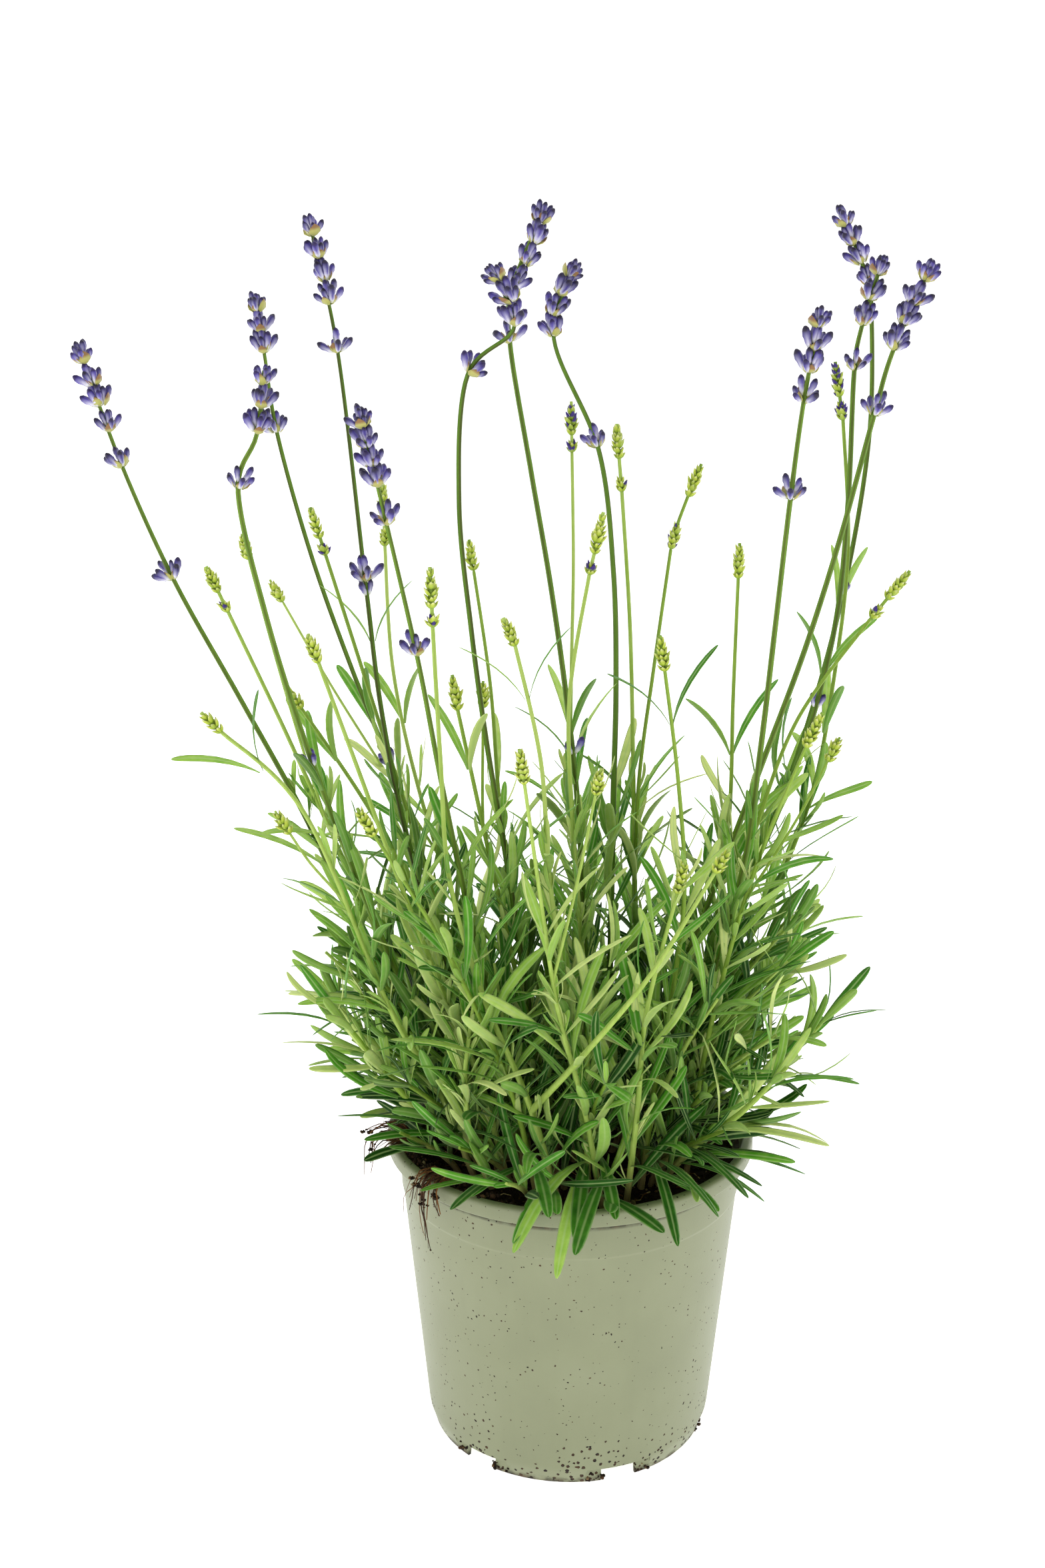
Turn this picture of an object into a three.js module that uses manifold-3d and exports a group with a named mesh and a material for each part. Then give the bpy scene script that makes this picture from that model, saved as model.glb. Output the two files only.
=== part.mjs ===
// Potted lavender: a young plant in flower, in a round nursery pot.
// Millimetres, +Z up. The origin is on the pot's axis, on the face that it rests on.
// -Y is the front of the plant. Each stalk, flower head, shoot and root tuft is its own solid.

import * as THREE from "three";
import { mergeVertices } from "three/addons/utils/BufferGeometryUtils.js";
import Module from "manifold-3d";

const wasm = await Module();
wasm.setup();

// Pot, moulded in one piece: a tapered wall, a thick lip, a raised floor and a notched foot ring.
const POT_HEIGHT = 115;
const LIP_RADIUS = 65;
const LIP_DEPTH = 6;
const WALL_TOP_RADIUS = 60.2;
const WALL_FOOT_RADIUS = 51.2;
const FOOT_RADIUS = 49.5;
const FOOT_HEIGHT = 6;
const WALL = 1.5;
const FLOOR_UNDER = 4;
const FLOOR_TOP = 5.6;
const PAD_RADIUS = 13;
const NOTCHES = 6;
const NOTCH_TURN = -10; // degrees from the X axis to the first notch
const NOTCH = { width: 13, recess: 24, height: 5, recessDepth: 0.5, recessHeight: 6 };
const DRAIN = { radius: 38, across: 9, round: 4 };
const POT_SIDES = 36;

// Soil, a little below the lip and heaped up against it at the front left.
const SOIL_LEVEL = 104;
const SOIL_HEAP = 5;
const SOIL_HEAP_ANGLE = THREE.MathUtils.degToRad(222);
const GAP = 0.3;

// Growth sizes.
const FLOWER_STALK_RADIUS = 1.15;
const BUD_STALK_RADIUS = 0.85;
const SHOOT_RADIUS = 1.3;
const RACHIS_RADIUS = 0.8;
const STALK_SIDES = 5;
const STALK_STEP = 42;
const SHOOT_STEP = 26;
const ROOT_STEP = 7;
const HEAD_SIDES = 6;
const WHORL = { foot: 2.3, mouth: 5.1, height: 6.4 };
const BUD = { foot: 1.3, waist: 2.2, tip: 0.4 };
const SIDE_BUD = 9;
const LEAF_HALF_WIDTH = 2.1;
const LEAF_THICKNESS = 0.9;
const LEAF_WAIST = 0.45;
const LEAF_CLEARANCE = 0.35;
const STALK_CLEARANCE = 0.5;
const FEET_APART = 5.2;
const CROWN_RADIUS = 8;
const FEET_REACH = 46;

// Flower stalks, left to right. "stalk" is the bare stalk above its foot, "head" is the axis that
// carries the whorls, from the lowest whorl to the tip, "whorls" are the whorls' heights, and
// "leaves" are the heights of the leaf pairs.
const FLOWERS = [
  {
    foot: [-38, 5],
    stalk: [[-79, 10, 196], [-95, 12, 233], [-118, 14, 278]],
    head: [[-134, 16, 309], [-150, 18, 348], [-157, 19, 372], [-163, 20, 388]],
    whorls: [309, 347, 359, 367, 374, 381],
    leaves: [150, 195],
  },
  {
    foot: [-30, 22],
    stalk: [[-50, 33, 195], [-67, 41, 245], [-84, 46, 289]],
    head: [[-102, 55, 352], [-106, 58, 380], [-109, 61, 401]],
    whorls: [352, 379, 386, 393],
    leaves: [170, 238],
  },
  {
    foot: [-36, -12],
    stalk: [[-66, -14, 195], [-86, -18, 255], [-99, -19, 303]],
    head: [[-107, -21, 347], [-100, -21, 367], [-97, -22, 388]],
    whorls: [347, 365, 373, 380],
    leaves: [180, 254],
  },
  {
    foot: [-22, -4],
    stalk: [[-50, 5, 195], [-63, 12, 250]],
    head: [[-70, 18, 308], [-75, 23, 350], [-80, 28, 399], [-87, 30, 428]],
    whorls: [308, 384, 399, 407, 414, 421],
    leaves: [160, 306],
  },
  {
    foot: [-16, -24],
    stalk: [[-33, -33, 200], [-43, -37, 255]],
    head: [[-50, -41, 298], [-57, -43, 333], [-66, -47, 376]],
    whorls: [298, 341, 353, 359, 365, 371],
    leaves: [150, 205],
  },
  {
    foot: [-8, -14],
    stalk: [[-19, -19, 200], [-30, -24, 275], [-37, -28, 350]],
    head: [[-34, -30, 385], [-19, -31, 401], [-20, -32, 408], [-28, -32, 419]],
    whorls: [385, 400, 407, 413],
    leaves: [175, 222],
  },
  {
    foot: [4, 6],
    stalk: [[3, 10, 220], [-5, 13, 292], [-15, 15, 352]],
    head: [[-21, 17, 388], [-22, 17, 402], [-15, 18, 416], [-10, 18, 432]],
    whorls: [388, 406, 413, 420, 426],
    leaves: [165, 250],
  },
  {
    foot: [14, 20],
    stalk: [[15, 28, 220], [15, 33, 298]],
    head: [[9, 37, 350], [0, 39, 374], [-7, 40, 390], [-5, 40, 402], [3, 41, 414]],
    whorls: [350, 387, 394, 401, 407],
    leaves: [150, 215],
  },
  {
    foot: [30, -18],
    stalk: [[55, -26, 215], [62, -31, 290]],
    head: [[66, -36, 347], [69, -38, 380], [73, -40, 408]],
    whorls: [347, 377, 386, 393, 400],
    leaves: [165, 220],
  },
  {
    foot: [26, 18],
    stalk: [[76, 32, 230], [97, 42, 312], [103, 49, 372]],
    head: [[101, 52, 403], [95, 54, 417], [90, 55, 429]],
    whorls: [403, 410, 416, 422],
    leaves: [200, 300],
  },
  {
    foot: [22, 4],
    stalk: [[67, 7, 220], [86, 9, 282], [91, 11, 345]],
    head: [[91, 12, 380], [94, 13, 400], [100, 13, 420]],
    whorls: [380, 394, 402, 410],
    leaves: [155, 268],
  },
  {
    foot: [18, -6],
    stalk: [[54, -8, 225], [80, -11, 308]],
    head: [[94, -13, 369], [101, -13, 396], [111, -14, 420]],
    whorls: [369, 390, 398, 404, 411],
    leaves: [140, 190],
  },
];

// Green bud stalks. "path" runs from above the foot to the tip, "buds" are [height, length] of the
// closed heads on it, and "side" is a thinner side stalk with one bud, as [height of the fork, tip]
// and, for a bowed one, the point that it bows through.
const BUDS = [
  {
    foot: [-42, 14],
    path: [[-75, 12, 200], [-101, 8, 267], [-122, 6, 317]],
    buds: [[301, 5], [308, 11]],
    leaves: [170],
    side: [225, [-108, -8, 331]],
  },
  {
    foot: [-26, 12],
    path: [[-53, 15, 213], [-77, 17, 297], [-88, 17, 335]],
    buds: [[318, 5], [324, 11]],
    leaves: [175],
  },
  {
    foot: [-22, -30],
    path: [[-53, -39, 210], [-72, -45, 271], [-84, -48, 309]],
    buds: [[298, 10]],
    leaves: [160, 205],
  },
  {
    foot: [-30, -6],
    path: [[-50, -6, 195], [-76, -8, 250], [-97, -9, 282]],
    buds: [[272, 9]],
    leaves: [150, 240],
  },
  {
    foot: [-34, -26],
    path: [[-62, -40, 180], [-76, -50, 235], [-100, -56, 267], [-120, -60, 290]],
    buds: [[279, 9]],
    leaves: [140, 185, 266],
    side: [215, [-97, -45, 250]],
  },
  {
    foot: [-12, -38],
    path: [[-36, -58, 195], [-58, -68, 240], [-69, -72, 261]],
    buds: [[249, 11]],
    leaves: [165],
  },
  {
    foot: [-14, 34],
    path: [[-47, 43, 200], [-63, 50, 268], [-66, 56, 336]],
    buds: [[313, 7], [323, 12]],
    leaves: [180, 255],
    side: [205, [-106, 46, 304]],
  },
  {
    foot: [-4, -46],
    path: [[-38, -53, 215], [-43, -59, 280], [-45, -62, 334]],
    buds: [[313, 5], [319, 13]],
    leaves: [165],
    side: [150, [47, -79, 249], [11, -76, 187]],
  },
  {
    foot: [0, 28],
    path: [[-22, 37, 195], [-28, 43, 262], [-36, 49, 319]],
    buds: [[306, 11]],
    leaves: [165, 210],
  },
  {
    foot: [6, -30],
    path: [[-8, -30, 220], [-14, -30, 283], [-24, -30, 311]],
    buds: [[299, 10]],
    leaves: [175, 268],
  },
  {
    foot: [-6, -16],
    path: [[-22, -18, 195], [-34, -19, 249], [-40, -20, 288]],
    buds: [[275, 12]],
    leaves: [155, 240],
    side: [232, [-30, -9, 282]],
  },
  {
    foot: [10, -44],
    path: [[-7, -66, 195], [-13, -78, 245], [-18, -85, 282]],
    buds: [[270, 12]],
    leaves: [150],
    side: [200, [7, -72, 272]],
  },
  {
    foot: [14, 34],
    path: [[1, 44, 215], [1, 56, 305], [0, 62, 363]],
    buds: [[345, 5], [351, 13]],
    leaves: [190, 245],
  },
  {
    foot: [10, -8],
    path: [[0, -10, 230], [-1, -11, 285], [9, -12, 339]],
    buds: [[318, 5], [325, 14]],
    leaves: [140, 225],
  },
  {
    foot: [24, 30],
    path: [[23, 38, 215], [20, 42, 300], [15, 45, 360]],
    buds: [[334, 6], [346, 12]],
    leaves: [160, 225],
  },
  {
    foot: [32, 26],
    path: [[23, 32, 205], [29, 35, 275], [35, 37, 320], [45, 38, 348]],
    buds: [[316, 10], [334, 12]],
    leaves: [170, 230],
  },
  {
    foot: [24, -30],
    path: [[36, -36, 212], [33, -37, 258], [26, -40, 307]],
    buds: [[293, 12]],
    leaves: [165, 258],
  },
  {
    foot: [34, 6],
    path: [[53, 12, 200], [55, 15, 265], [56, 18, 323]],
    buds: [[310, 12]],
    leaves: [175, 232],
  },
  {
    foot: [36, 26],
    path: [[82, 33, 215], [94, 38, 295], [95, 42, 338], [89, 45, 380]],
    buds: [[359, 7], [367, 12]],
    leaves: [180, 258],
  },
  {
    foot: [38, -8],
    path: [[58, -5, 212], [76, -2, 268], [112, 0, 319]],
    buds: [[301, 6], [307, 12]],
    leaves: [165],
  },
  {
    foot: [40, -22],
    path: [[54, -33, 205], [67, -37, 250], [79, -40, 282]],
    buds: [[268, 13]],
    leaves: [160],
    side: [218, [87, -24, 268]],
  },
  {
    foot: [20, -46],
    path: [[22, -57, 160], [23, -61, 186], [30, -64, 219], [34, -66, 240]],
    buds: [[228, 12]],
    leaves: [150],
  },
];

// Leafy shoots that carry no flower: "path" runs from above the foot to the growing tip, "leaves"
// is the number of leaf pairs, and "length" is the longest leaf.
const SHOOTS = [
  { foot: [-30, -20], path: [[-48, -28, 130], [-80, -40, 178]], leaves: 5, length: 46 },
  { foot: [-36, 8], path: [[-58, 10, 128], [-88, 12, 165]], leaves: 5, length: 40 },
  { foot: [-28, 26], path: [[-46, 42, 132], [-72, 62, 172]], leaves: 5, length: 42 },
  { foot: [4, 40], path: [[6, 58, 140], [10, 78, 186]], leaves: 5, length: 44 },
  { foot: [34, 18], path: [[52, 28, 132], [84, 44, 176]], leaves: 5, length: 44 },
  { foot: [40, -6], path: [[60, -8, 128], [94, -10, 168]], leaves: 5, length: 42 },
  { foot: [30, -28], path: [[46, -38, 128], [70, -52, 162]], leaves: 5, length: 42 },
  { foot: [6, -42], path: [[4, -44, 146], [6, -45, 176], [15, -47, 204]], leaves: 6, length: 44 },
  { foot: [-30, -40], path: [[-37, -46, 140], [-35, -49, 165], [-33, -50, 184]], leaves: 5, length: 36 },
];

// Big old leaves that lie out over the lip of the pot: [shoot number, height of the node, leaf tip].
const OVER_THE_LIP = [
  [8, 120, [-6, -84, 102]],
  [8, 123, [-20, -78, 108]],
  [8, 122, [34, -80, 108]],
  [8, 125, [50, -66, 112]],
  [9, 126, [-54, -60, 114]],
  [7, 124, [88, -28, 122]],
];

// Root strands washed out over the lip: [radius, points].
const ROOTS = {
  root_tuft_front: [
    [
      1,
      [[-38, -38, 111], [-44, -42, 117.5], [-49, -47, 118], [-50.5, -48, 110], [-49, -47.5, 96], [-46.5, -49, 84]],
    ],
    [0.7, [[-38, -38, 111], [-45, -41.5, 118], [-52, -45.5, 117.5], [-55, -44, 108], [-55, -43.5, 100]]],
    [0.7, [[-38, -38, 111], [-42, -44, 118], [-46.5, -51, 117.5], [-45.5, -53, 108], [-44, -53, 101]]],
  ],
  root_tuft_left: [
    [1, [[-52, -14, 112], [-60, -15, 118], [-68, -16, 118], [-69.5, -16.5, 108], [-68.5, -16, 98]]],
    [0.7, [[-52, -14, 112], [-58, -20, 118.5], [-65, -25, 118.5], [-73, -28, 111]]],
    [0.7, [[-52, -14, 112], [-60, -9, 119], [-69, -8, 118.5], [-74, -7, 112]]],
  ],
};

const UP = new THREE.Vector3(0, 0, 1);
const vector = (xyz) => new THREE.Vector3(...xyz);
const mix = (a, b, share) => a + (b - a) * share;
const clamp01 = (value) => Math.min(1, Math.max(0, value));

// ---- solids ----

// A closed geometry with one vertex at each corner and no collapsed triangles.
function cleanMesh(geometry) {
  const bare = new THREE.BufferGeometry();
  bare.setAttribute("position", geometry.getAttribute("position"));
  if (geometry.index) bare.setIndex(geometry.index);
  const merged = mergeVertices(bare, 1e-3);
  const corners = merged.index.array;
  const kept = [];
  for (let i = 0; i < corners.length; i += 3) {
    const [a, b, c] = [corners[i], corners[i + 1], corners[i + 2]];
    if (a !== b && b !== c && c !== a) kept.push(a, b, c);
  }
  merged.setIndex(kept);
  return merged;
}

function toSolid(geometry) {
  const clean = cleanMesh(geometry);
  return new wasm.Manifold(
    new wasm.Mesh({
      numProp: 3,
      vertProperties: Float32Array.from(clean.getAttribute("position").array),
      triVerts: Uint32Array.from(clean.index.array),
    }),
  );
}

function toGeometry(solid) {
  const mesh = solid.getMesh();
  const geometry = new THREE.BufferGeometry();
  geometry.setAttribute("position", new THREE.BufferAttribute(mesh.vertProperties, 3));
  geometry.setIndex(new THREE.BufferAttribute(mesh.triVerts, 1));
  geometry.computeVertexNormals();
  return geometry;
}

const join = (solids) => solids.reduce((whole, piece) => whole.add(piece));

// A body of revolution about +Z; the outline is [radius, height] from axis to axis.
function turned(outline, sides) {
  const points = outline.map(([radius, height]) => new THREE.Vector2(radius, height));
  return new THREE.LatheGeometry(points, sides).rotateX(Math.PI / 2);
}

// The stretch of a curve between two shares of its length.
class Stretch extends THREE.Curve {
  constructor(whole, from, to) {
    super();
    Object.assign(this, { whole, from, to });
  }

  getPoint(share, target = new THREE.Vector3()) {
    return this.whole.getPointAt(mix(this.from, this.to, share), target);
  }
}

// A rod with flat ends and a regular section, along a curve.
function rodSolid(curve, radius, steps) {
  const section = new THREE.Shape();
  for (let i = 0; i < STALK_SIDES; i++) {
    const turn = (i / STALK_SIDES) * 2 * Math.PI;
    const [x, y] = [radius * Math.cos(turn), radius * Math.sin(turn)];
    if (i === 0) section.moveTo(x, y);
    else section.lineTo(x, y);
  }
  return toSolid(new THREE.ExtrudeGeometry(section, { steps, bevelEnabled: false, extrudePath: curve }));
}

// A body that swells and narrows along a curve: "stations" are [share of its length, radius].
function swelledSolid(curve, stations, sides) {
  const flank = new THREE.Vector3(1, 0, 0);
  const corners = [];
  for (const [share, radius] of stations) {
    const centre = curve.getPointAt(share);
    const along = curve.getTangentAt(share);
    flank.addScaledVector(along, -flank.dot(along)).normalize();
    const across = along.clone().cross(flank);
    for (let i = 0; i < sides; i++) {
      const turn = (i / sides) * 2 * Math.PI;
      const spoke = flank.clone().multiplyScalar(Math.cos(turn)).addScaledVector(across, Math.sin(turn));
      corners.push(centre.clone().addScaledVector(spoke, radius));
    }
  }
  const faces = [];
  const last = corners.length - sides;
  for (let ring = 0; ring < last; ring += sides) {
    for (let i = 0; i < sides; i++) {
      const [a, b] = [ring + i, ring + ((i + 1) % sides)];
      faces.push(a, b, b + sides, a, b + sides, a + sides);
    }
  }
  for (let i = 1; i < sides - 1; i++) faces.push(0, i + 1, i, last, last + i, last + i + 1);
  const geometry = new THREE.BufferGeometry().setFromPoints(corners);
  geometry.setIndex(faces);
  return toSolid(geometry);
}

// ---- room to grow: every rod and leaf already placed, as straight pieces with a radius ----

const placed = [];

function leastDistance(a, b, c, d) {
  const [u, v, w] = [b.clone().sub(a), d.clone().sub(c), a.clone().sub(c)];
  const [uu, uv, vv, uw, vw] = [u.dot(u), u.dot(v), v.dot(v), u.dot(w), v.dot(w)];
  const spread = uu * vv - uv * uv;
  let s = spread > 1e-9 ? clamp01((uv * vw - vv * uw) / spread) : 0;
  const t = clamp01((uv * s + vw) / vv);
  s = clamp01((uv * t - uw) / uu);
  return a.clone().addScaledVector(u, s).distanceTo(c.clone().addScaledVector(v, t));
}

function piecesOf(points, radii, owner) {
  return points.slice(1).map((end, i) => ({ start: points[i], end, radius: radii[i], owner }));
}

function isFree(piece, clearance) {
  return placed.every((other) => {
    if (other.owner === piece.owner) return true;
    const reach = piece.radius + other.radius + clearance;
    return leastDistance(piece.start, piece.end, other.start, other.end) > reach;
  });
}

// The middle of a built stalk at a share of its length: it runs straight between its rings.
function stalkPoint(curve, steps, share) {
  const ring = Math.min(steps - 1, Math.floor(share * steps));
  const end = curve.getPointAt((ring + 1) / steps);
  return curve.getPointAt(ring / steps).lerp(end, share * steps - ring);
}

// Whether a leaf or stalk point stays off the soil and the pot.
function clearsPot(point, radius) {
  const out = Math.hypot(point.x, point.y);
  if (point.z > POT_HEIGHT + radius + 0.6) return true;
  if (out > LIP_RADIUS + radius + 0.6) return true;
  return out < LIP_RADIUS - 4.5 - radius && point.z > soilTop(point.x, point.y) + radius + 0.5;
}

// ---- pot and soil ----

function soilTop(x, y) {
  const out = Math.hypot(x, y);
  const towardsHeap = Math.max(0, Math.cos(Math.atan2(y, x) - SOIL_HEAP_ANGLE));
  const heap = SOIL_HEAP * towardsHeap ** 6 * clamp01((out - 30) / 20);
  return SOIL_LEVEL + 0.9 * Math.sin(x / 9 + 1) * Math.cos(y / 11) + heap;
}

function potSolid() {
  const lipFoot = POT_HEIGHT - LIP_DEPTH;
  const outline = [
    [0, 0],
    [PAD_RADIUS, 0],
    [PAD_RADIUS, FLOOR_UNDER],
    [FOOT_RADIUS - WALL - 0.6, FLOOR_UNDER],
    [FOOT_RADIUS - WALL, 0],
    [FOOT_RADIUS, 0],
    [WALL_FOOT_RADIUS, FOOT_HEIGHT],
    [WALL_TOP_RADIUS - 0.7, POT_HEIGHT - 20.5],
    [WALL_TOP_RADIUS, POT_HEIGHT - 20],
    [WALL_TOP_RADIUS + 0.5, lipFoot],
    [LIP_RADIUS, lipFoot + 0.6],
    [LIP_RADIUS, POT_HEIGHT - 1.2],
    [LIP_RADIUS - 0.8, POT_HEIGHT],
    [LIP_RADIUS - 2.4, POT_HEIGHT],
    [WALL_TOP_RADIUS - WALL, lipFoot - 2],
    [WALL_FOOT_RADIUS - WALL, FLOOR_TOP],
    [0, FLOOR_TOP],
  ];
  let pot = toSolid(turned(outline, POT_SIDES));
  for (let i = 0; i < NOTCHES; i++) {
    const angle = THREE.MathUtils.degToRad(NOTCH_TURN + (i * 360) / NOTCHES);
    for (const cutter of drainCutters()) pot = pot.subtract(toSolid(cutter.rotateZ(angle)));
  }
  return pot;
}

// One way out for water: a notch through the foot ring, the shallow recess round it, and a slot
// through the floor.
function drainCutters() {
  const notch = new THREE.BoxGeometry(8, NOTCH.width, 2 * NOTCH.height);
  notch.translate(FOOT_RADIUS, 0, 0);
  const recess = new THREE.BoxGeometry(4, NOTCH.recess, 2 * NOTCH.recessHeight);
  recess.translate(FOOT_RADIUS + 2 - NOTCH.recessDepth, 0, 0);
  const slot = new THREE.BoxGeometry(DRAIN.round, DRAIN.across, 10);
  slot.translate(DRAIN.radius, 0, FLOOR_TOP);
  return [notch, recess, slot];
}

function soilSolid() {
  const top = WALL_TOP_RADIUS - WALL - GAP - 0.5;
  const outline = [
    [0, FLOOR_TOP + GAP],
    [WALL_FOOT_RADIUS - WALL - GAP - 0.3, FLOOR_TOP + GAP],
    [top, SOIL_LEVEL - 3],
    [top - 0.8, SOIL_LEVEL],
    [44, SOIL_LEVEL],
    [25, SOIL_LEVEL],
    [0, SOIL_LEVEL],
  ];
  const soil = cleanMesh(turned(outline, 30));
  const position = soil.getAttribute("position");
  for (let i = 0; i < position.count; i++) {
    if (position.getZ(i) < SOIL_LEVEL - 0.1) continue;
    position.setZ(i, soilTop(position.getX(i), position.getY(i)));
  }
  return toSolid(soil);
}

// The low woody stool that the shoots come up round.
function crownSolid() {
  const foot = SOIL_LEVEL + 1.5;
  const outline = [
    [0, foot],
    [CROWN_RADIUS - 1.5, foot],
    [CROWN_RADIUS - 1, foot + 3],
    [CROWN_RADIUS - 3.5, foot + 8],
    [0, foot + 9],
  ];
  placed.push({
    start: new THREE.Vector3(0, 0, foot),
    end: new THREE.Vector3(0, 0, foot + 9),
    radius: CROWN_RADIUS,
    owner: "woody_crown",
  });
  return toSolid(turned(outline, 9));
}

// A tuft of root strands that start from one knot. It takes its place before the leaves do.
function rootSolid(name, strands) {
  return join(
    strands.map(([radius, points]) => {
      const curve = new THREE.CatmullRomCurve3(points.map(vector), false, "centripetal");
      const steps = stepsOf(curve, ROOT_STEP);
      const line = curve.getSpacedPoints(steps);
      placed.push(...piecesOf(line, line.map(() => radius), name));
      return rodSolid(curve, radius, steps);
    }),
  );
}

// ---- stalks ----

// Spreads the feet of all the stalks evenly round the crown.
function spreadFeet(feet) {
  for (let pass = 0; pass < 80; pass++) {
    feet.forEach((foot, i) => {
      feet.slice(i + 1).forEach((other) => {
        const between = other.clone().sub(foot);
        const push = (FEET_APART - between.length()) / 2;
        if (push <= 0) return;
        foot.addScaledVector(between.normalize(), -push);
        other.addScaledVector(between, push);
      });
      foot.clampLength(CROWN_RADIUS + 3, FEET_REACH);
    });
  }
}

// The line of a stalk from its foot through its points: the lower ones are bowed forwards or back
// by some mm, the upper ones stay where they are.
function stalkCurve(foot, lower, upper, bow) {
  const start = new THREE.Vector3(foot.x, foot.y, soilTop(foot.x, foot.y) + 1.2);
  const risen = start.clone().add(new THREE.Vector3(0, 0, 9));
  const bowed = lower.map(([x, y, z], i) => {
    const share = Math.sin((Math.PI * (i + 1)) / (lower.length + 1));
    return new THREE.Vector3(x, y + bow * share, z);
  });
  return new THREE.CatmullRomCurve3([start, risen, ...bowed, ...upper.map(vector)], false, "centripetal");
}

const stepsOf = (curve, step) => Math.max(3, Math.round(curve.getLength() / step));

// Bows a stalk until it is clear of the stalks that stand already, then takes its place.
function settle(owner, radius, step, curveFor) {
  for (const bow of [0, 3, -3, 6, -6, 9, -9, 12, -12, 15, -15]) {
    const curve = curveFor(bow);
    const line = curve.getSpacedPoints(stepsOf(curve, step));
    const pieces = piecesOf(line, line.map(() => radius), owner);
    if (pieces.every((piece) => isFree(piece, STALK_CLEARANCE))) {
      placed.push(...pieces);
      return curve;
    }
  }
  throw new Error(`${owner} finds no way up`);
}

// The share of a curve's length at which it first reaches a height.
function shareAt(curve, height) {
  const fine = 400;
  for (let i = 0; i <= fine; i++) {
    if (curve.getPointAt(i / fine).z >= height) return i / fine;
  }
  return 1;
}

// ---- leaves ----

// A narrow leaf: a flat top, a keel under it, and a point. "line" is its root, its waist and its tip.
function leafSolid([root, waist, tip], halfWidth, face) {
  const corners = [];
  for (const [centre, towards, share] of [[root, waist, 0.3], [waist, tip, 1]]) {
    const along = towards.clone().sub(centre).normalize();
    const side = along.clone().cross(face).normalize();
    const under = along.clone().cross(side);
    const edge = centre.clone().addScaledVector(under, (-share * LEAF_THICKNESS) / 3);
    corners.push(
      edge.clone().addScaledVector(side, -share * halfWidth),
      edge.clone().addScaledVector(side, share * halfWidth),
      edge.clone().addScaledVector(under, share * LEAF_THICKNESS),
    );
  }
  corners.push(tip);
  const faces = [0, 2, 1, 3, 4, 6, 4, 5, 6, 5, 3, 6];
  for (const [a, b] of [[0, 1], [1, 2], [2, 0]]) faces.push(a, b, b + 3, a, b + 3, a + 3);
  const geometry = new THREE.BufferGeometry().setFromPoints(corners);
  geometry.setIndex(faces);
  return toSolid(geometry);
}

// The line of a leaf that leaves its stalk at "rise" radians to it and then arches outwards.
function leafLine(root, along, out, length, rise, arch) {
  const line = [root.clone()];
  for (const [angle, share] of [[rise, LEAF_WAIST], [rise + arch, 1 - LEAF_WAIST]]) {
    const heading = along.clone().multiplyScalar(Math.cos(angle)).addScaledVector(out, Math.sin(angle));
    line.push(line.at(-1).clone().addScaledVector(heading, length * share));
  }
  return line;
}

// Places a leaf if there is room for it, and gives its solid. "reach" is how far it must stay from
// the pot and the soil.
function growLeaf(line, halfWidth, face, owner, reach = halfWidth) {
  const pieces = piecesOf(line, [0.85, 0.85].map((share) => share * halfWidth), owner);
  const quarters = [0.25, 0.5, 0.75, 1];
  const spots = pieces.flatMap(({ start, end }) => quarters.map((at) => start.clone().lerp(end, at)));
  if (!spots.every((spot) => clearsPot(spot, reach))) return null;
  if (!pieces.every((piece) => isFree(piece, LEAF_CLEARANCE))) return null;
  placed.push(...pieces);
  return leafSolid(line, halfWidth, face);
}

// A leaf on one side of a stalk. It turns, lifts or stays shorter until it finds room.
function leafAt(curve, share, steps, turn, length, halfWidth, rise, owner) {
  const root = stalkPoint(curve, steps, share);
  const along = curve.getTangentAt(share);
  const across = along.clone().cross(UP).normalize();
  const flank = across.clone().cross(along);
  for (const size of [1, 0.8]) {
    for (const twist of [0, 0.35, -0.35, 0.7, -0.7]) {
      const out = across.clone().multiplyScalar(Math.cos(turn + twist));
      out.addScaledVector(flank, Math.sin(turn + twist));
      for (const lift of [0, 0.25, -0.25]) {
        const arch = 0.45 - rise * 0.3;
        const line = leafLine(root, along, out, length * size, rise - lift, arch);
        const leaf = growLeaf(line, halfWidth, along, owner);
        if (leaf) return leaf;
      }
    }
  }
  return null;
}

// A pair of opposite leaves, halfway between two rings of the stalk.
function leafPair(curve, share, steps, turn, length, rise, owner) {
  const middle = (Math.min(steps - 1, Math.floor(share * steps)) + 0.5) / steps;
  const halfWidth = LEAF_HALF_WIDTH * mix(0.6, 1, clamp01((length - 24) / 18));
  return [0, Math.PI]
    .map((side) => leafAt(curve, middle, steps, turn + side, length, halfWidth, rise, owner))
    .filter(Boolean);
}

// The leaf pairs of a flower or bud stalk: long and wide below, short and narrow above.
function stalkLeaves(curve, steps, heights, index, owner) {
  return heights.flatMap((height, i) => {
    const high = clamp01((height - 130) / 150);
    const turn = index * 0.9 + i * (Math.PI / 2);
    const length = mix(44, 28, high);
    return leafPair(curve, shareAt(curve, height), steps, turn, length, mix(0.75, 0.5, high), owner);
  });
}

// An old leaf that lies out over the lip, from a node of a shoot down to its tip.
function leafOverLip(curve, steps, height, tip, owner) {
  const root = stalkPoint(curve, steps, shareAt(curve, height));
  const end = vector(tip);
  for (const lift of [6, 9, 12, 15]) {
    const crest = root.clone().lerp(end, 0.55).setZ(Math.max(root.z, POT_HEIGHT) + lift);
    const arc = new THREE.QuadraticBezierCurve3(root, crest, end);
    const line = [0, LEAF_WAIST, 1].map((share) => arc.getPoint(share));
    const leaf = growLeaf(line, LEAF_HALF_WIDTH * 1.1, UP, owner, LEAF_THICKNESS);
    if (leaf) return leaf;
  }
  return null;
}

// ---- flowers and buds ----

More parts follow.
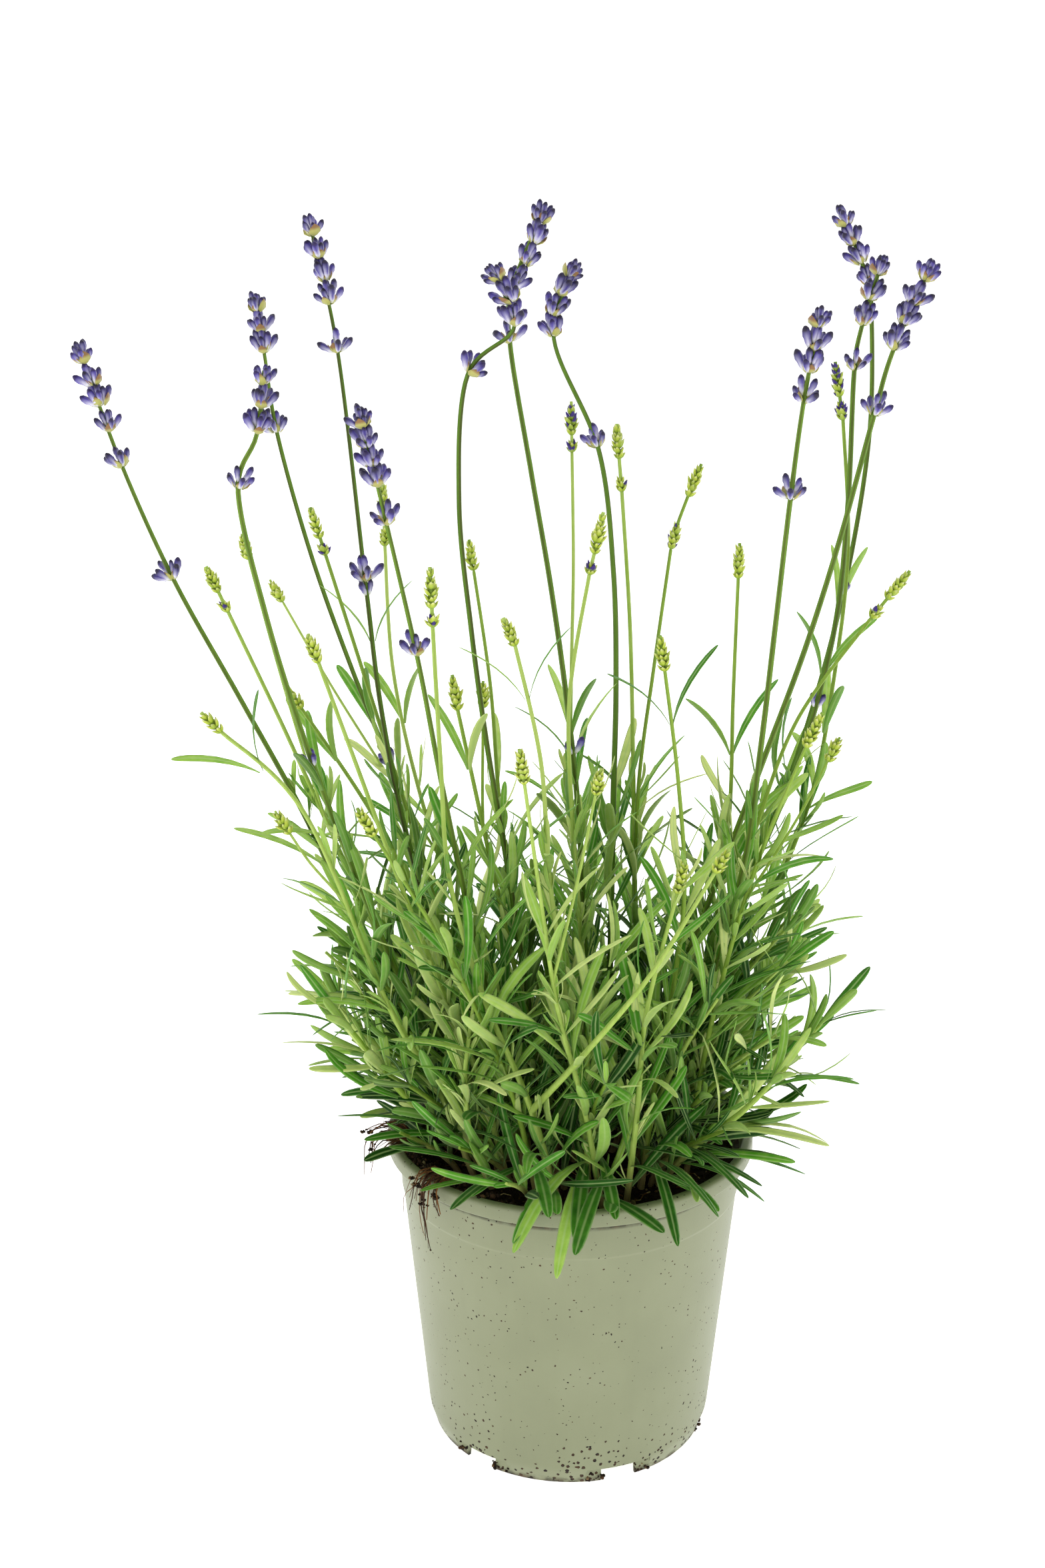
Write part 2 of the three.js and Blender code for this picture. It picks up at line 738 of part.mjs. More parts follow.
// The flower head: the thin axis above the stalk, swelled into a cup at each whorl of florets.
function headSolid(curve, whorls) {
  const length = curve.getLength();
  const shares = whorls.map((height) => shareAt(curve, height));
  const stations = shares.flatMap((share, i) => {
    const room = (shares[i + 1] ?? 1) - share;
    const height = Math.min(WHORL.height / length, 0.9 * room);
    const foot = i === 0 ? share + GAP / length : share;
    return [
      [foot, RACHIS_RADIUS],
      [foot + 0.15 * height, WHORL.foot],
      [foot + 0.85 * height, WHORL.mouth],
      [foot + height, RACHIS_RADIUS],
    ];
  });
  return swelledSolid(curve, stations, HEAD_SIDES);
}

// A stalk of even thickness up to its first bud, then swelled into each closed head.
function budStalkSolid(curve, closed, radius) {
  const length = curve.getLength();
  const first = shareAt(curve, closed[0][0]);
  const steps = stepsOf(new Stretch(curve, 0, first), STALK_STEP);
  const stations = [];
  for (let i = 0; i < steps; i++) stations.push([(first * i) / steps, radius]);
  closed.forEach(([height, long], i) => {
    const foot = shareAt(curve, height);
    const top = Math.min(1, foot + long / length);
    const tip = i + 1 < closed.length ? radius : BUD.tip;
    stations.push(
      [foot, radius],
      [mix(foot, top, 0.12), BUD.foot],
      [mix(foot, top, 0.55), BUD.waist],
      [top, tip],
    );
  });
  return swelledSolid(curve, stations, STALK_SIDES);
}

// ---- assembly ----

const colours = {
  pot: new THREE.MeshStandardMaterial({ color: 0xa3a885, roughness: 0.55, metalness: 0 }),
  soil: new THREE.MeshStandardMaterial({ color: 0x2b211a, roughness: 1, metalness: 0 }),
  wood: new THREE.MeshStandardMaterial({ color: 0x6d5a3c, roughness: 0.9, metalness: 0 }),
  root: new THREE.MeshStandardMaterial({ color: 0x4a2f1c, roughness: 0.9, metalness: 0 }),
  stalk: new THREE.MeshStandardMaterial({ color: 0x6f8a3c, roughness: 0.6, metalness: 0 }),
  flower: new THREE.MeshStandardMaterial({ color: 0x4b3a86, roughness: 0.7, metalness: 0 }),
  bud: new THREE.MeshStandardMaterial({ color: 0xaabd45, roughness: 0.65, metalness: 0 }),
  leaf: new THREE.MeshStandardMaterial({ color: 0x55803f, roughness: 0.65, metalness: 0 }),
};

const lavender = new THREE.Group();

function addPiece(name, solid, colour) {
  const mesh = new THREE.Mesh(toGeometry(solid), colours[colour]);
  mesh.name = name;
  lavender.add(mesh);
}

const numbered = (name, index) => `${name}_${String(index + 1).padStart(2, "0")}`;
const stems = [...FLOWERS, ...BUDS, ...SHOOTS].map((spec) => new THREE.Vector2(...spec.foot));
spreadFeet(stems);
const shootFeet = stems.splice(FLOWERS.length + BUDS.length);
const budFeet = stems.splice(FLOWERS.length);
const flowerFeet = stems;

addPiece("pot", potSolid(), "pot");
addPiece("soil", soilSolid(), "soil");
addPiece("woody_crown", crownSolid(), "wood");
for (const [name, strands] of Object.entries(ROOTS)) addPiece(name, rootSolid(name, strands), "root");

// All the stalks stand before the first leaf grows, so that the leaves find their way between them.
const flowers = FLOWERS.map(({ foot, stalk, head, whorls, leaves }, i) => {
  const owner = numbered("flower", i);
  const curve = settle(owner, FLOWER_STALK_RADIUS, STALK_STEP, (bow) =>
    stalkCurve(flowerFeet[i], stalk, head, bow),
  );
  const neck = shareAt(curve, whorls[0]) - GAP / curve.getLength();
  return { owner, curve, stalk: new Stretch(curve, 0, neck), whorls, leaves };
});

const buds = BUDS.map(({ path, buds: closed, leaves, side }, i) => {
  const owner = numbered("bud_stalk", i);
  const curve = settle(owner, BUD_STALK_RADIUS, STALK_STEP, (bow) =>
    stalkCurve(budFeet[i], path.slice(0, -1), path.slice(-1), bow),
  );
  const stalk = new Stretch(curve, 0, shareAt(curve, closed[0][0]));
  return { owner, curve, stalk, closed, leaves, side };
});

const shoots = SHOOTS.map(({ path, leaves, length }, i) => {
  const owner = numbered("leafy_shoot", i);
  const curve = settle(owner, SHOOT_RADIUS, SHOOT_STEP, (bow) =>
    stalkCurve(shootFeet[i], path.slice(0, -1), path.slice(-1), bow),
  );
  return { owner, curve, leaves, length };
});

// A thin side stalk with one bud, from a fork on the main stalk.
function sideBranch({ owner, stalk, side }) {
  if (!side) return [];
  const [forkHeight, tip, bow] = side;
  const fork = stalkPoint(stalk, stepsOf(stalk, STALK_STEP), shareAt(stalk, forkHeight));
  const end = vector(tip);
  const knee = bow ? vector(bow) : fork.clone().lerp(end, 0.45).add(new THREE.Vector3(0, 0, -4));
  const branch = new THREE.CatmullRomCurve3([fork, knee, end], false, "centripetal");
  const line = branch.getSpacedPoints(stepsOf(branch, STALK_STEP));
  placed.push(...piecesOf(line, line.map(() => BUD_STALK_RADIUS), owner));
  return [budStalkSolid(branch, [[end.z - SIDE_BUD, SIDE_BUD]], 0.8 * BUD_STALK_RADIUS)];
}

const sides = buds.map(sideBranch);

flowers.forEach(({ owner, curve, stalk, whorls, leaves }, i) => {
  const steps = stepsOf(stalk, STALK_STEP);
  const grown = stalkLeaves(stalk, steps, leaves, i, owner);
  const rod = rodSolid(stalk, FLOWER_STALK_RADIUS, steps);
  addPiece(numbered("flower_stalk", i), join([rod, ...grown]), "stalk");
  addPiece(numbered("flower_head", i), headSolid(curve, whorls), "flower");
});

buds.forEach(({ owner, stalk, curve, closed, leaves }, i) => {
  const steps = stepsOf(stalk, STALK_STEP);
  const grown = stalkLeaves(stalk, steps, leaves, i + 5, owner);
  const rod = budStalkSolid(curve, closed, BUD_STALK_RADIUS);
  addPiece(owner, join([rod, ...sides[i], ...grown]), "bud");
});

shoots.forEach(({ owner, curve, leaves, length }, i) => {
  const steps = stepsOf(curve, SHOOT_STEP);
  const pieces = [rodSolid(curve, SHOOT_RADIUS, steps)];
  for (const [shoot, height, tip] of OVER_THE_LIP) {
    if (shoot === i + 1) pieces.push(leafOverLip(curve, steps, height, tip, owner));
  }
  for (let pair = 0; pair < leaves; pair++) {
    const share = mix(0.28, 0.97, pair / (leaves - 1));
    const size = length * mix(1, 0.6, share ** 2);
    const turn = i + pair * (Math.PI / 2);
    pieces.push(...leafPair(curve, share, steps, turn, size, mix(1, 0.35, share), owner));
  }
  addPiece(owner, join(pieces.filter(Boolean)), "leaf");
});

export default lavender;
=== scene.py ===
# Potted lavender: a young plant in flower in a round nursery pot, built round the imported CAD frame.
# Lengths are metres, as in the frame; MM turns the millimetre sizes below into them.

import math

import bpy
import numpy as np
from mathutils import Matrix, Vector, noise
from mathutils.bvhtree import BVHTree


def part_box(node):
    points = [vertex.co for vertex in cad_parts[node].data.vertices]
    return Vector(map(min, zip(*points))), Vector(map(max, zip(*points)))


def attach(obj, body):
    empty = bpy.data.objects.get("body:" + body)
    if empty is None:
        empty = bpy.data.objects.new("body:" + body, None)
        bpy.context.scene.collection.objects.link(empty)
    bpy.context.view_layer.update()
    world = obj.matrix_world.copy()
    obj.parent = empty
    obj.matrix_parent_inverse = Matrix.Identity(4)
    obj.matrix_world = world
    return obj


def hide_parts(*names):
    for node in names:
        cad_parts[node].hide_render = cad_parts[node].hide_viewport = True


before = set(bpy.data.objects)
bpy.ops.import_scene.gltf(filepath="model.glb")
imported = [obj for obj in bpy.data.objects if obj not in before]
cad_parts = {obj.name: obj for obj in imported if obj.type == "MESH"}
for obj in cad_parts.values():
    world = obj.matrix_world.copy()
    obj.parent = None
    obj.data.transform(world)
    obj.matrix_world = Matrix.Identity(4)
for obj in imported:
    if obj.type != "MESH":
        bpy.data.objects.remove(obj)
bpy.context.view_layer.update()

MM = 0.001
RNG = np.random.default_rng(7)
UP = np.array([0.0, 0.0, 1.0])
GOLDEN_ANGLE = 2.399963  # turns each next shoot into the widest gap left

FLOWER_STALKS = sorted(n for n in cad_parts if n.startswith("flower_stalk"))
FLOWER_HEADS = sorted(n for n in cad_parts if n.startswith("flower_head"))
BUD_STALKS = sorted(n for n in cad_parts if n.startswith("bud_stalk"))
LEAFY_SHOOTS = sorted(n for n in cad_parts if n.startswith("leafy_shoot"))
ROOT_TUFTS = sorted(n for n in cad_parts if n.startswith("root_tuft"))

# Camera: a 52.5 mm lens on an upright 36 mm frame, in front of the pot and a little above the tips
# of the tallest stalks, looking down by 18 degrees.
CAMERA_PLACE = (-17 * MM, -737 * MM, 487 * MM)
CAMERA_TILT = math.radians(90 - 18.32)
CAMERA_LENS = 52.5

ROD_SIDES = 5
HEAD_SIDES = 6
SIDE_BRANCH_RADIUS = 0.75 * MM  # thinner rods than this are side branches

# Pot, turned about Z.
POT_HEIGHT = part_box("pot")[1].z
LIP_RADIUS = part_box("pot")[1].x
LIP_FOOT = POT_HEIGHT - 6 * MM
WALL = 1.5 * MM
WALL_TOP_RADIUS = 60.2 * MM
WALL_FOOT_RADIUS = 51.2 * MM
FOOT_RADIUS = 49.5 * MM
FOOT_HEIGHT = 6 * MM
FLOOR_UNDER = 4 * MM
FLOOR_TOP = 5.6 * MM
PAD_RADIUS = 13 * MM
STACK_LINE = POT_HEIGHT - 20 * MM
POT_SIDES = 144
NOTCH_CRUMBS = 24  # wet soil dried on at each notch
NOTCHES = 6
NOTCH_TURN = math.radians(-10)  # from the X axis to the first notch

# Leaves: stations along the blade, and how wide it is at each.
LEAF_STATIONS = np.array([0, 0.08, 0.2, 0.36, 0.53, 0.7, 0.83, 0.92, 0.975, 1.0])
LEAF_WIDTHS = np.array([0.3, 0.42, 0.66, 0.9, 1.0, 1.0, 0.92, 0.74, 0.46, 0.14])

# Flower stalks with a few early florets in the axils of a leaf pair, and the height of that pair in mm.
LOW_FLORETS = {2: 238, 3: 254, 4: 306, 7: 250, 10: 300, 11: 268}

# Young stalks at the front whose side branch or foot is pale and stout.
STOUT_BUD_STALKS = ("bud_stalk_08", "bud_stalk_22")

# Fine roots over the lip: the routes of the frame's strands, in mm.
ROOT_ROUTES = [
    [
        (-38, -38, 111), (-44, -42, 117.5), (-49, -47, 118),
        (-50.5, -48, 110), (-49, -47.5, 96), (-46.5, -49, 84)
    ],
    [(-38, -38, 111), (-45, -41.5, 118), (-52, -45.5, 117.5), (-55, -44, 108), (-55, -43.5, 100)],
    [(-38, -38, 111), (-42, -44, 118), (-46.5, -51, 117.5), (-45.5, -53, 108), (-44, -53, 101)],
    [(-52, -14, 112), (-60, -15, 118), (-68, -16, 118), (-69.5, -16.5, 108), (-68.5, -16, 98)],
    [(-52, -14, 112), (-58, -20, 118.5), (-65, -25, 118.5), (-73, -28, 111)],
    [(-52, -14, 112), (-60, -9, 119), (-69, -8, 118.5), (-74, -7, 112)],
]

HAIRS_PER_STRAND = 13
RIM_CRUMBS = 900
STRAWS = 90

# Broad low leaves lie out over the lip, most of them on the side that got the light.
RIM_LEAVES = 24
RIM_SIDE = (246, 345)

# Small shoots inside the plant, and more that lean out to its two sides.
INNER_SHOOTS = 46
SIDE_SHOOTS = 28

# Leaf pairs go up the stalks to this height.
FOLIAGE_TOP = 240 * MM
PAIR_SPACING = 10 * MM
THIN_OUT = (195 * MM, 235 * MM)  # most pairs are lost between these heights
TO_LIGHT = 0.28  # how far every leaf turns up from where its stem would point it


# ---- the frame's stalks and leaves, read from its nodes ----


def corners_and_links(node):
    """A node's corners, with the loose triangles joined, and each corner's neighbours."""
    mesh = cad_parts[node].data
    points = np.empty(len(mesh.vertices) * 3)
    mesh.vertices.foreach_get("co", points)
    points = points.reshape(-1, 3)
    cells = np.round(points / (0.002 * MM))
    _, first, corner = np.unique(cells, axis=0, return_index=True, return_inverse=True)
    corner = corner.reshape(-1)
    links = [set() for _ in first]
    for edge in mesh.edges:
        a, b = corner[edge.vertices[0]], corner[edge.vertices[1]]
        if a != b:
            links[a].add(b)
            links[b].add(a)
    return points[first], links


def ring_from(start, second, corners, links, sides):
    """The regular ring of corners that goes through two linked corners, or None."""
    ring = [start, second]
    side = np.linalg.norm(corners[second] - corners[start])
    turn = math.cos(2 * math.pi / sides)
    while len(ring) < sides:
        step = (corners[ring[-1]] - corners[ring[-2]]) / side
        for other in links[ring[-1]]:
            ahead = corners[other] - corners[ring[-1]]
            length = np.linalg.norm(ahead)
            regular = abs(length - side) < 0.01 * side and abs(step @ ahead / length - turn) < 0.02
            if regular and other not in ring:
                ring.append(other)
                break
        else:
            return None
    closing = abs(np.linalg.norm(corners[ring[-1]] - corners[start]) - side)
    return ring if closing < 0.01 * side and start in links[ring[-1]] else None


def chains(corners, links, sides):
    """The stalks of a node, each as its rings from the foot up: [(centre, radius), ...]."""
    rings = {}
    for start in range(len(corners)):
        for second in links[start]:
            ring = ring_from(start, second, corners, links, sides)
            if ring:
                rings[frozenset(ring)] = ring
    rings = list(rings.values())
    owner = {corner: i for i, ring in enumerate(rings) for corner in ring}
    joined = [
        {owner[o] for c in ring for o in links[c] if o in owner} - {i} for i, ring in enumerate(rings)
    ]
    centres = [corners[ring].mean(0) for ring in rings]
    radii = [np.linalg.norm(corners[ring[0]] - centre) for ring, centre in zip(rings, centres)]
    left, found = set(range(len(rings))), []
    while left:
        at = min(left, key=lambda i: centres[i][2])
        chain = [at]
        left.discard(at)
        while joined[at] & left:
            at = min(joined[at] & left, key=lambda i: np.linalg.norm(centres[i] - centres[chain[-1]]))
            chain.append(at)
            left.discard(at)
        if len(chain) > 1:
            found.append([(centres[i], radii[i]) for i in chain])
    return found, set(owner)


def mended(found):
    """Joins the lengths of a main stalk that a fork has parted, and starts side branches on it."""
    main, sides = [], []
    for chain in sorted(found, key=lambda c: c[0][0][2]):
        if chain[0][1] < SIDE_BRANCH_RADIUS:
            sides.append(chain)
        else:
            main += chain
    line = smoothed([centre for centre, _ in main])
    for chain in sides:
        first, second = chain[0][0], chain[1][0]
        below = line[line[:, 2] < first[2]]
        aim = unit(first - second)
        reach = below - first
        miss = np.linalg.norm(reach - (reach @ aim)[:, None] * aim, axis=1)
        chain.insert(0, (below[miss.argmin()], chain[0][1]))
    return [main, *sides]


def leaves_of(corners, links, rings):
    """The leaves of a node as (root, waist, tip, up, half width): each has one tip on a triangle."""
    found = []
    for tip in set(range(len(corners))) - rings:
        waist = list(links[tip])
        if len(waist) != 3 or any(len(links[w] & set(waist)) != 2 for w in waist):
            continue
        around = corners[waist]
        if np.linalg.norm(around - corners[tip], axis=1).min() < 8 * MM:
            continue
        spans = [np.linalg.norm(around[(i + 1) % 3] - around[(i + 2) % 3]) for i in range(3)]
        keel = int(np.argmax(spans))
        edges = [around[(keel + 1) % 3], around[(keel + 2) % 3]]
        middle = (edges[0] + edges[1]) / 2
        feet = {o for w in waist for o in links[w]} - set(waist) - {tip}
        if not feet:
            continue
        root = corners[sorted(feet)].mean(0)
        found.append((root, middle, corners[tip], unit(middle - around[keel]), spans[keel] / 2))
    return found


# ---- lines through space ----


def unit(v):
    return v / max(np.linalg.norm(v), 1e-12)


def smoothed(points, step=2.5 * MM):
    """A smooth line through points, with a place about every step."""
    points = np.array(points)
    ends = np.vstack([2 * points[0] - points[1], points, 2 * points[-1] - points[-2]])
    line = []
    for a, b, c, d in zip(ends, ends[1:], ends[2:], ends[3:]):
        t = np.linspace(0, 1, max(2, int(np.linalg.norm(c - b) / step)), endpoint=False)[:, None]
        line.append(b + 0.5 * t * (c - a + t * (2 * a - 5 * b + 4 * c - d + t * (3 * (b - c) + d - a))))
    return np.vstack([*line, points[-1:]])


def directions(line):
    """The direction of a line at each of its places."""
    steps = np.diff(line, axis=0)
    steps /= np.maximum(np.linalg.norm(steps, axis=1), 1e-12)[:, None]
    both = np.vstack([steps[:1], steps]) + np.vstack([steps, steps[-1:]])
    return both / np.maximum(np.linalg.norm(both, axis=1), 1e-12)[:, None]


def square_to(v, axis):
    """v turned square to an axis."""
    return unit(v - (v @ axis) * axis)


def turned(v, axis, angle):
    along = axis * (axis @ v)
    return v * math.cos(angle) + np.cross(axis, v) * math.sin(angle) + along * (1 - math.cos(angle))


# ---- meshes and node trees ----


def mesh_of(name, points, edges=(), faces=(), **attributes):
    """A mesh with its own named values at each point."""
    mesh = bpy.data.meshes.new(name)
    mesh.from_pydata([tuple(p) for p in points], list(edges), list(faces))
    for key, values in attributes.items():
        values = np.asarray(values, float)
        kind, field = ("FLOAT_VECTOR", "vector") if values.ndim == 2 else ("FLOAT", "value")
        mesh.attributes.new(key, kind, "POINT").data.foreach_set(field, values.ravel())
    mesh.update()
    return mesh


def shown(name, mesh):
    """An object at the origin for a mesh."""
    made = bpy.data.objects.new(name, mesh)
    bpy.context.scene.collection.objects.link(made)
    return made


def removed(*objects):
    for made in objects:
        bpy.data.objects.remove(made)


def add(tree, kind, inputs=None, **settings):
    """Adds a node: settings are its own, inputs are by socket name or number, a value or a socket."""
    made = tree.nodes.new(kind)
    for name, value in settings.items():
        setattr(made, name, value)
    for key, value in (inputs or {}).items():
        if isinstance(value, bpy.types.NodeSocket):
            tree.links.new(value, made.inputs[key])
        else:
            made.inputs[key].default_value = value
    return made


def new_tree(name, **inputs):
    """A Geometry Nodes tree with named inputs: the tree, its input sockets and its end."""
    tree = bpy.data.node_groups.new(name, "GeometryNodeTree")
    tree.interface.new_socket("Geometry", in_out="INPUT", socket_type="NodeSocketGeometry")
    for key, kind in inputs.items():
        tree.interface.new_socket(key, in_out="INPUT", socket_type="NodeSocket" + kind)
    tree.interface.new_socket("Geometry", in_out="OUTPUT", socket_type="NodeSocketGeometry")
    return tree, add(tree, "NodeGroupInput").outputs, add(tree, "NodeGroupOutput").inputs[0]


def end_tree(tree, end, geometry, material):
    """Every tree ends the same way: smooth faces, real geometry, one material."""
    smooth = add(tree, "GeometryNodeSetShadeSmooth", {0: geometry}).outputs[0]
    real = add(tree, "GeometryNodeRealizeInstances", {0: smooth}).outputs[0]
    tree.links.new(add(tree, "GeometryNodeSetMaterial", {0: real, 2: material}).outputs[0], end)


def grown(name, source, tree, **inputs):
    """Runs a tree on a source mesh, and keeps what it makes as a plain mesh at the origin."""
    made = shown(name, source)
    modifier = made.modifiers.new(tree.name, "NODES")
    modifier.node_group = tree
    for item in tree.interface.items_tree:
        if item.in_out == "INPUT" and item.name in inputs:
            modifier[item.identifier] = inputs[item.name]
    depsgraph = bpy.context.evaluated_depsgraph_get()
    result = bpy.data.meshes.new_from_object(
        made.evaluated_get(depsgraph), preserve_all_data_layers=True, depsgraph=depsgraph
    )
    made.modifiers.clear()
    made.data = result
    return made


def sweep_tree(name, flat):
    """Sweeps a section along every line of a mesh: flat keeps the section turned to the line's up."""
    tree, given, end = new_tree(name, Section="Object", Material="Material")
    lines = add(tree, "GeometryNodeMeshToCurve", {0: given["Geometry"]}).outputs[0]
    if flat:
        up = add(tree, "GeometryNodeInputNamedAttribute", {0: "up"}, data_type="FLOAT_VECTOR")
        lines = add(
            tree, "GeometryNodeSetCurveNormal", {0: lines, 2: up.outputs[0]}, mode="FREE"
        ).outputs[0]
    else:
        lines = add(
            tree, "GeometryNodeCurveSplineType", {0: lines}, spline_type="CATMULL_ROM"
        ).outputs[0]
        lines = add(
            tree, "GeometryNodeResampleCurve", {0: lines, 3: 2.5 * MM}, mode="LENGTH"
        ).outputs[0]
    section = add(tree, "GeometryNodeObjectInfo", {0: given["Section"]}).outputs["Geometry"]
    section = add(tree, "GeometryNodeMeshToCurve", {0: section}).outputs[0]
    size = add(tree, "GeometryNodeInputNamedAttribute", {0: "size"}, data_type="FLOAT").outputs[0]
    swept = add(tree, "GeometryNodeCurveToMesh", {0: lines, 1: section, 2: size, 3: True})
    end_tree(tree, end, swept.outputs[0], given["Material"])
    return tree


def whorl_tree():
    """Sets a ring of copies of a template round each point, leaning out from the point's axis."""
    tree, given, end = new_tree(
        "Whorls", Template="Object", Start="Float", Splay="Float", Play="Float", Seed="Int",
        Material="Material",
    )

    def value(name, kind="FLOAT"):
        return add(tree, "GeometryNodeInputNamedAttribute", {0: name}, data_type=kind).outputs[0]

    def chance(low, high, shift):
        seed = add(
            tree, "ShaderNodeMath", {0: given["Seed"], 1: float(shift)}, operation="ADD"
        ).outputs[0]
        made = add(tree, "FunctionNodeRandomValue", {2: low, 3: high, 8: seed}, data_type="FLOAT")
        return made.outputs[1]

    points = add(tree, "GeometryNodeMeshToPoints", {0: given["Geometry"]}).outputs[0]
    copies = add(tree, "GeometryNodeDuplicateElements", {0: points, 2: value("count")}, domain="POINT")
    share = add(tree, "ShaderNodeMath", {0: copies.outputs[1], 1: value("count")}, operation="DIVIDE")
    angle = add(
        tree, "ShaderNodeMath", {
            0: share.outputs[0], 1: 2 * math.pi, 2: value("turn")
        }, operation="MULTIPLY_ADD"
    ).outputs[0]
    angle = add(tree, "ShaderNodeMath", {0: angle, 1: chance(-0.3, 0.3, 1)}, operation="ADD").outputs[0]
    upright = add(
        tree, "FunctionNodeAlignRotationToVector", {2: value("axis", "FLOAT_VECTOR")}, axis="Z"
    ).outputs[0]
    around = add(tree, "FunctionNodeAxisAngleToRotation", {0: (0, 0, 1), 1: angle}).outputs[0]
    facing = add(
        tree, "FunctionNodeRotateRotation", {0: upright, 1: around}, rotation_space="LOCAL"
    ).outputs[0]
    unsteady = add(
        tree, "ShaderNodeMath", {0: chance(-1, 1, 2), 1: given["Play"]}, operation="MULTIPLY"
    )
    splay = add(
        tree, "ShaderNodeMath", {
            0: given["Splay"], 1: value("splay"), 2: unsteady.outputs[0]
        }, operation="MULTIPLY_ADD"
    ).outputs[0]
    lean = add(tree, "FunctionNodeAxisAngleToRotation", {0: (0, 1, 0), 1: splay}).outputs[0]
    leaning = add(
        tree, "FunctionNodeRotateRotation", {0: facing, 1: lean}, rotation_space="LOCAL"
    ).outputs[0]
    out = add(
        tree, "ShaderNodeMath", {0: given["Start"], 1: value("size")}, operation="MULTIPLY"
    ).outputs[0]
    out = add(tree, "ShaderNodeCombineXYZ", {0: out}).outputs[0]
    out = add(tree, "FunctionNodeRotateVector", {0: out, 1: facing}).outputs[0]
    placed = add(tree, "GeometryNodeSetPosition", {0: copies.outputs[0], 3: out}).outputs[0]
    size = add(
        tree, "ShaderNodeMath", {0: value("size"), 1: chance(0.78, 1.14, 3)}, operation="MULTIPLY"
    )
    template = add(tree, "GeometryNodeObjectInfo", {0: given["Template"]}).outputs["Geometry"]
    copies = add(
        tree, "GeometryNodeInstanceOnPoints", {0: placed, 2: template, 5: leaning, 6: size.outputs[0]}
    ).outputs[0]
    tinted = add(
        tree, "GeometryNodeStoreNamedAttribute", {
            0: copies, 2: "tint", 3: chance(0, 1, 4)
        }, domain="INSTANCE"
    ).outputs[0]
    end_tree(tree, end, tinted, given["Material"])
    return tree


def scatter_tree():
    """Scatters copies of a template over the faces, as thickly as "thick" says there."""
    tree, given, end = new_tree(
        "Scatter", Template="Object", Density="Float", Smallest="Float", Largest="Float", Seed="Int",
        Material="Material"
    )
    thick = add(tree, "GeometryNodeInputNamedAttribute", {0: "thick"}, data_type="FLOAT").outputs[0]
    density = add(
        tree, "ShaderNodeMath", {0: given["Density"], 1: thick}, operation="MULTIPLY"
    ).outputs[0]
    points = add(
        tree, "GeometryNodeDistributePointsOnFaces", {
            0: given["Geometry"], 4: density, 6: given["Seed"]
        }
    ).outputs[0]
    turn = add(
        tree, "FunctionNodeRandomValue", {0: (0, 0, 0), 1: (6.28, 6.28, 6.28), 8: given["Seed"]},
        data_type="FLOAT_VECTOR",
    ).outputs[0]
    size = add(
        tree, "FunctionNodeRandomValue", {2: given["Smallest"], 3: given["Largest"], 8: given["Seed"]},
        data_type="FLOAT",
    ).outputs[1]
    template = add(tree, "GeometryNodeObjectInfo", {0: given["Template"]}).outputs["Geometry"]
    turn = add(tree, "FunctionNodeEulerToRotation", {0: turn}).outputs[0]
    copies = add(
        tree, "GeometryNodeInstanceOnPoints", {0: points, 2: template, 5: turn, 6: size}
    ).outputs[0]
    shade = add(tree, "FunctionNodeRandomValue", {2: 0.0, 3: 1.0, 8: 5}, data_type="FLOAT").outputs[1]
    tinted = add(
        tree, "GeometryNodeStoreNamedAttribute", {0: copies, 2: "tint", 3: shade}, domain="INSTANCE"
    ).outputs[0]
    end_tree(tree, end, tinted, given["Material"])
    return tree


# ---- materials ----


def colour(hex_code):
    """An sRGB hex colour as linear red, green, blue and alpha."""
    parts = [int(hex_code[i : i + 2], 16) / 255 for i in (1, 3, 5)]
    linear = [c / 12.92 if c <= 0.04045 else ((c + 0.055) / 1.055) ** 2.4 for c in parts]
    return (*linear, 1.0)


def per_mm(size):
    """The scale of a pattern whose features are this many millimetres across."""
    return 1 / (size * MM)


def material(name, **constants):
    """A new material: its tree and its surface shader, with the shader's constants set."""
    made = bpy.data.materials.new(name)
    made.use_nodes = True
    made.node_tree.nodes.clear()
    settings = {key.replace("_", " "): value for key, value in constants.items()}
    surface = add(made.node_tree, "ShaderNodeBsdfPrincipled", settings)
    add(made.node_tree, "ShaderNodeOutputMaterial", {0: surface.outputs[0]})
    return made, made.node_tree, surface.inputs


def readings(tree, *names):
    """The place on the object, and the values that its mesh carries under these names."""
    place = add(tree, "ShaderNodeTexCoord").outputs["Object"]
    return place, *(add(tree, "ShaderNodeAttribute", attribute_name=n).outputs["Fac"] for n in names)


def surfaced(made, seen, height, strength, depth):
    """Gives a material its colour and its fine relief."""
    tree = made.node_tree
    shader = tree.nodes["Principled BSDF"].inputs
    tree.links.new(seen, shader["Base Color"])
    bump = add(tree, "ShaderNodeBump", {"Strength": strength, "Distance": depth, "Height": height})
    tree.links.new(bump.outputs[0], shader["Normal"])
    return made


def stops(ramp, *places):
    """Sets a colour ramp's stops, each a place and a hex colour, and gives its colour."""
    elements = ramp.color_ramp.elements
    while len(elements) < len(places):
        elements.new(0.5)
    for element, (place, hex_code) in zip(elements, places):
        element.position = place
        element.color = colour(hex_code)
    return ramp.outputs[0]


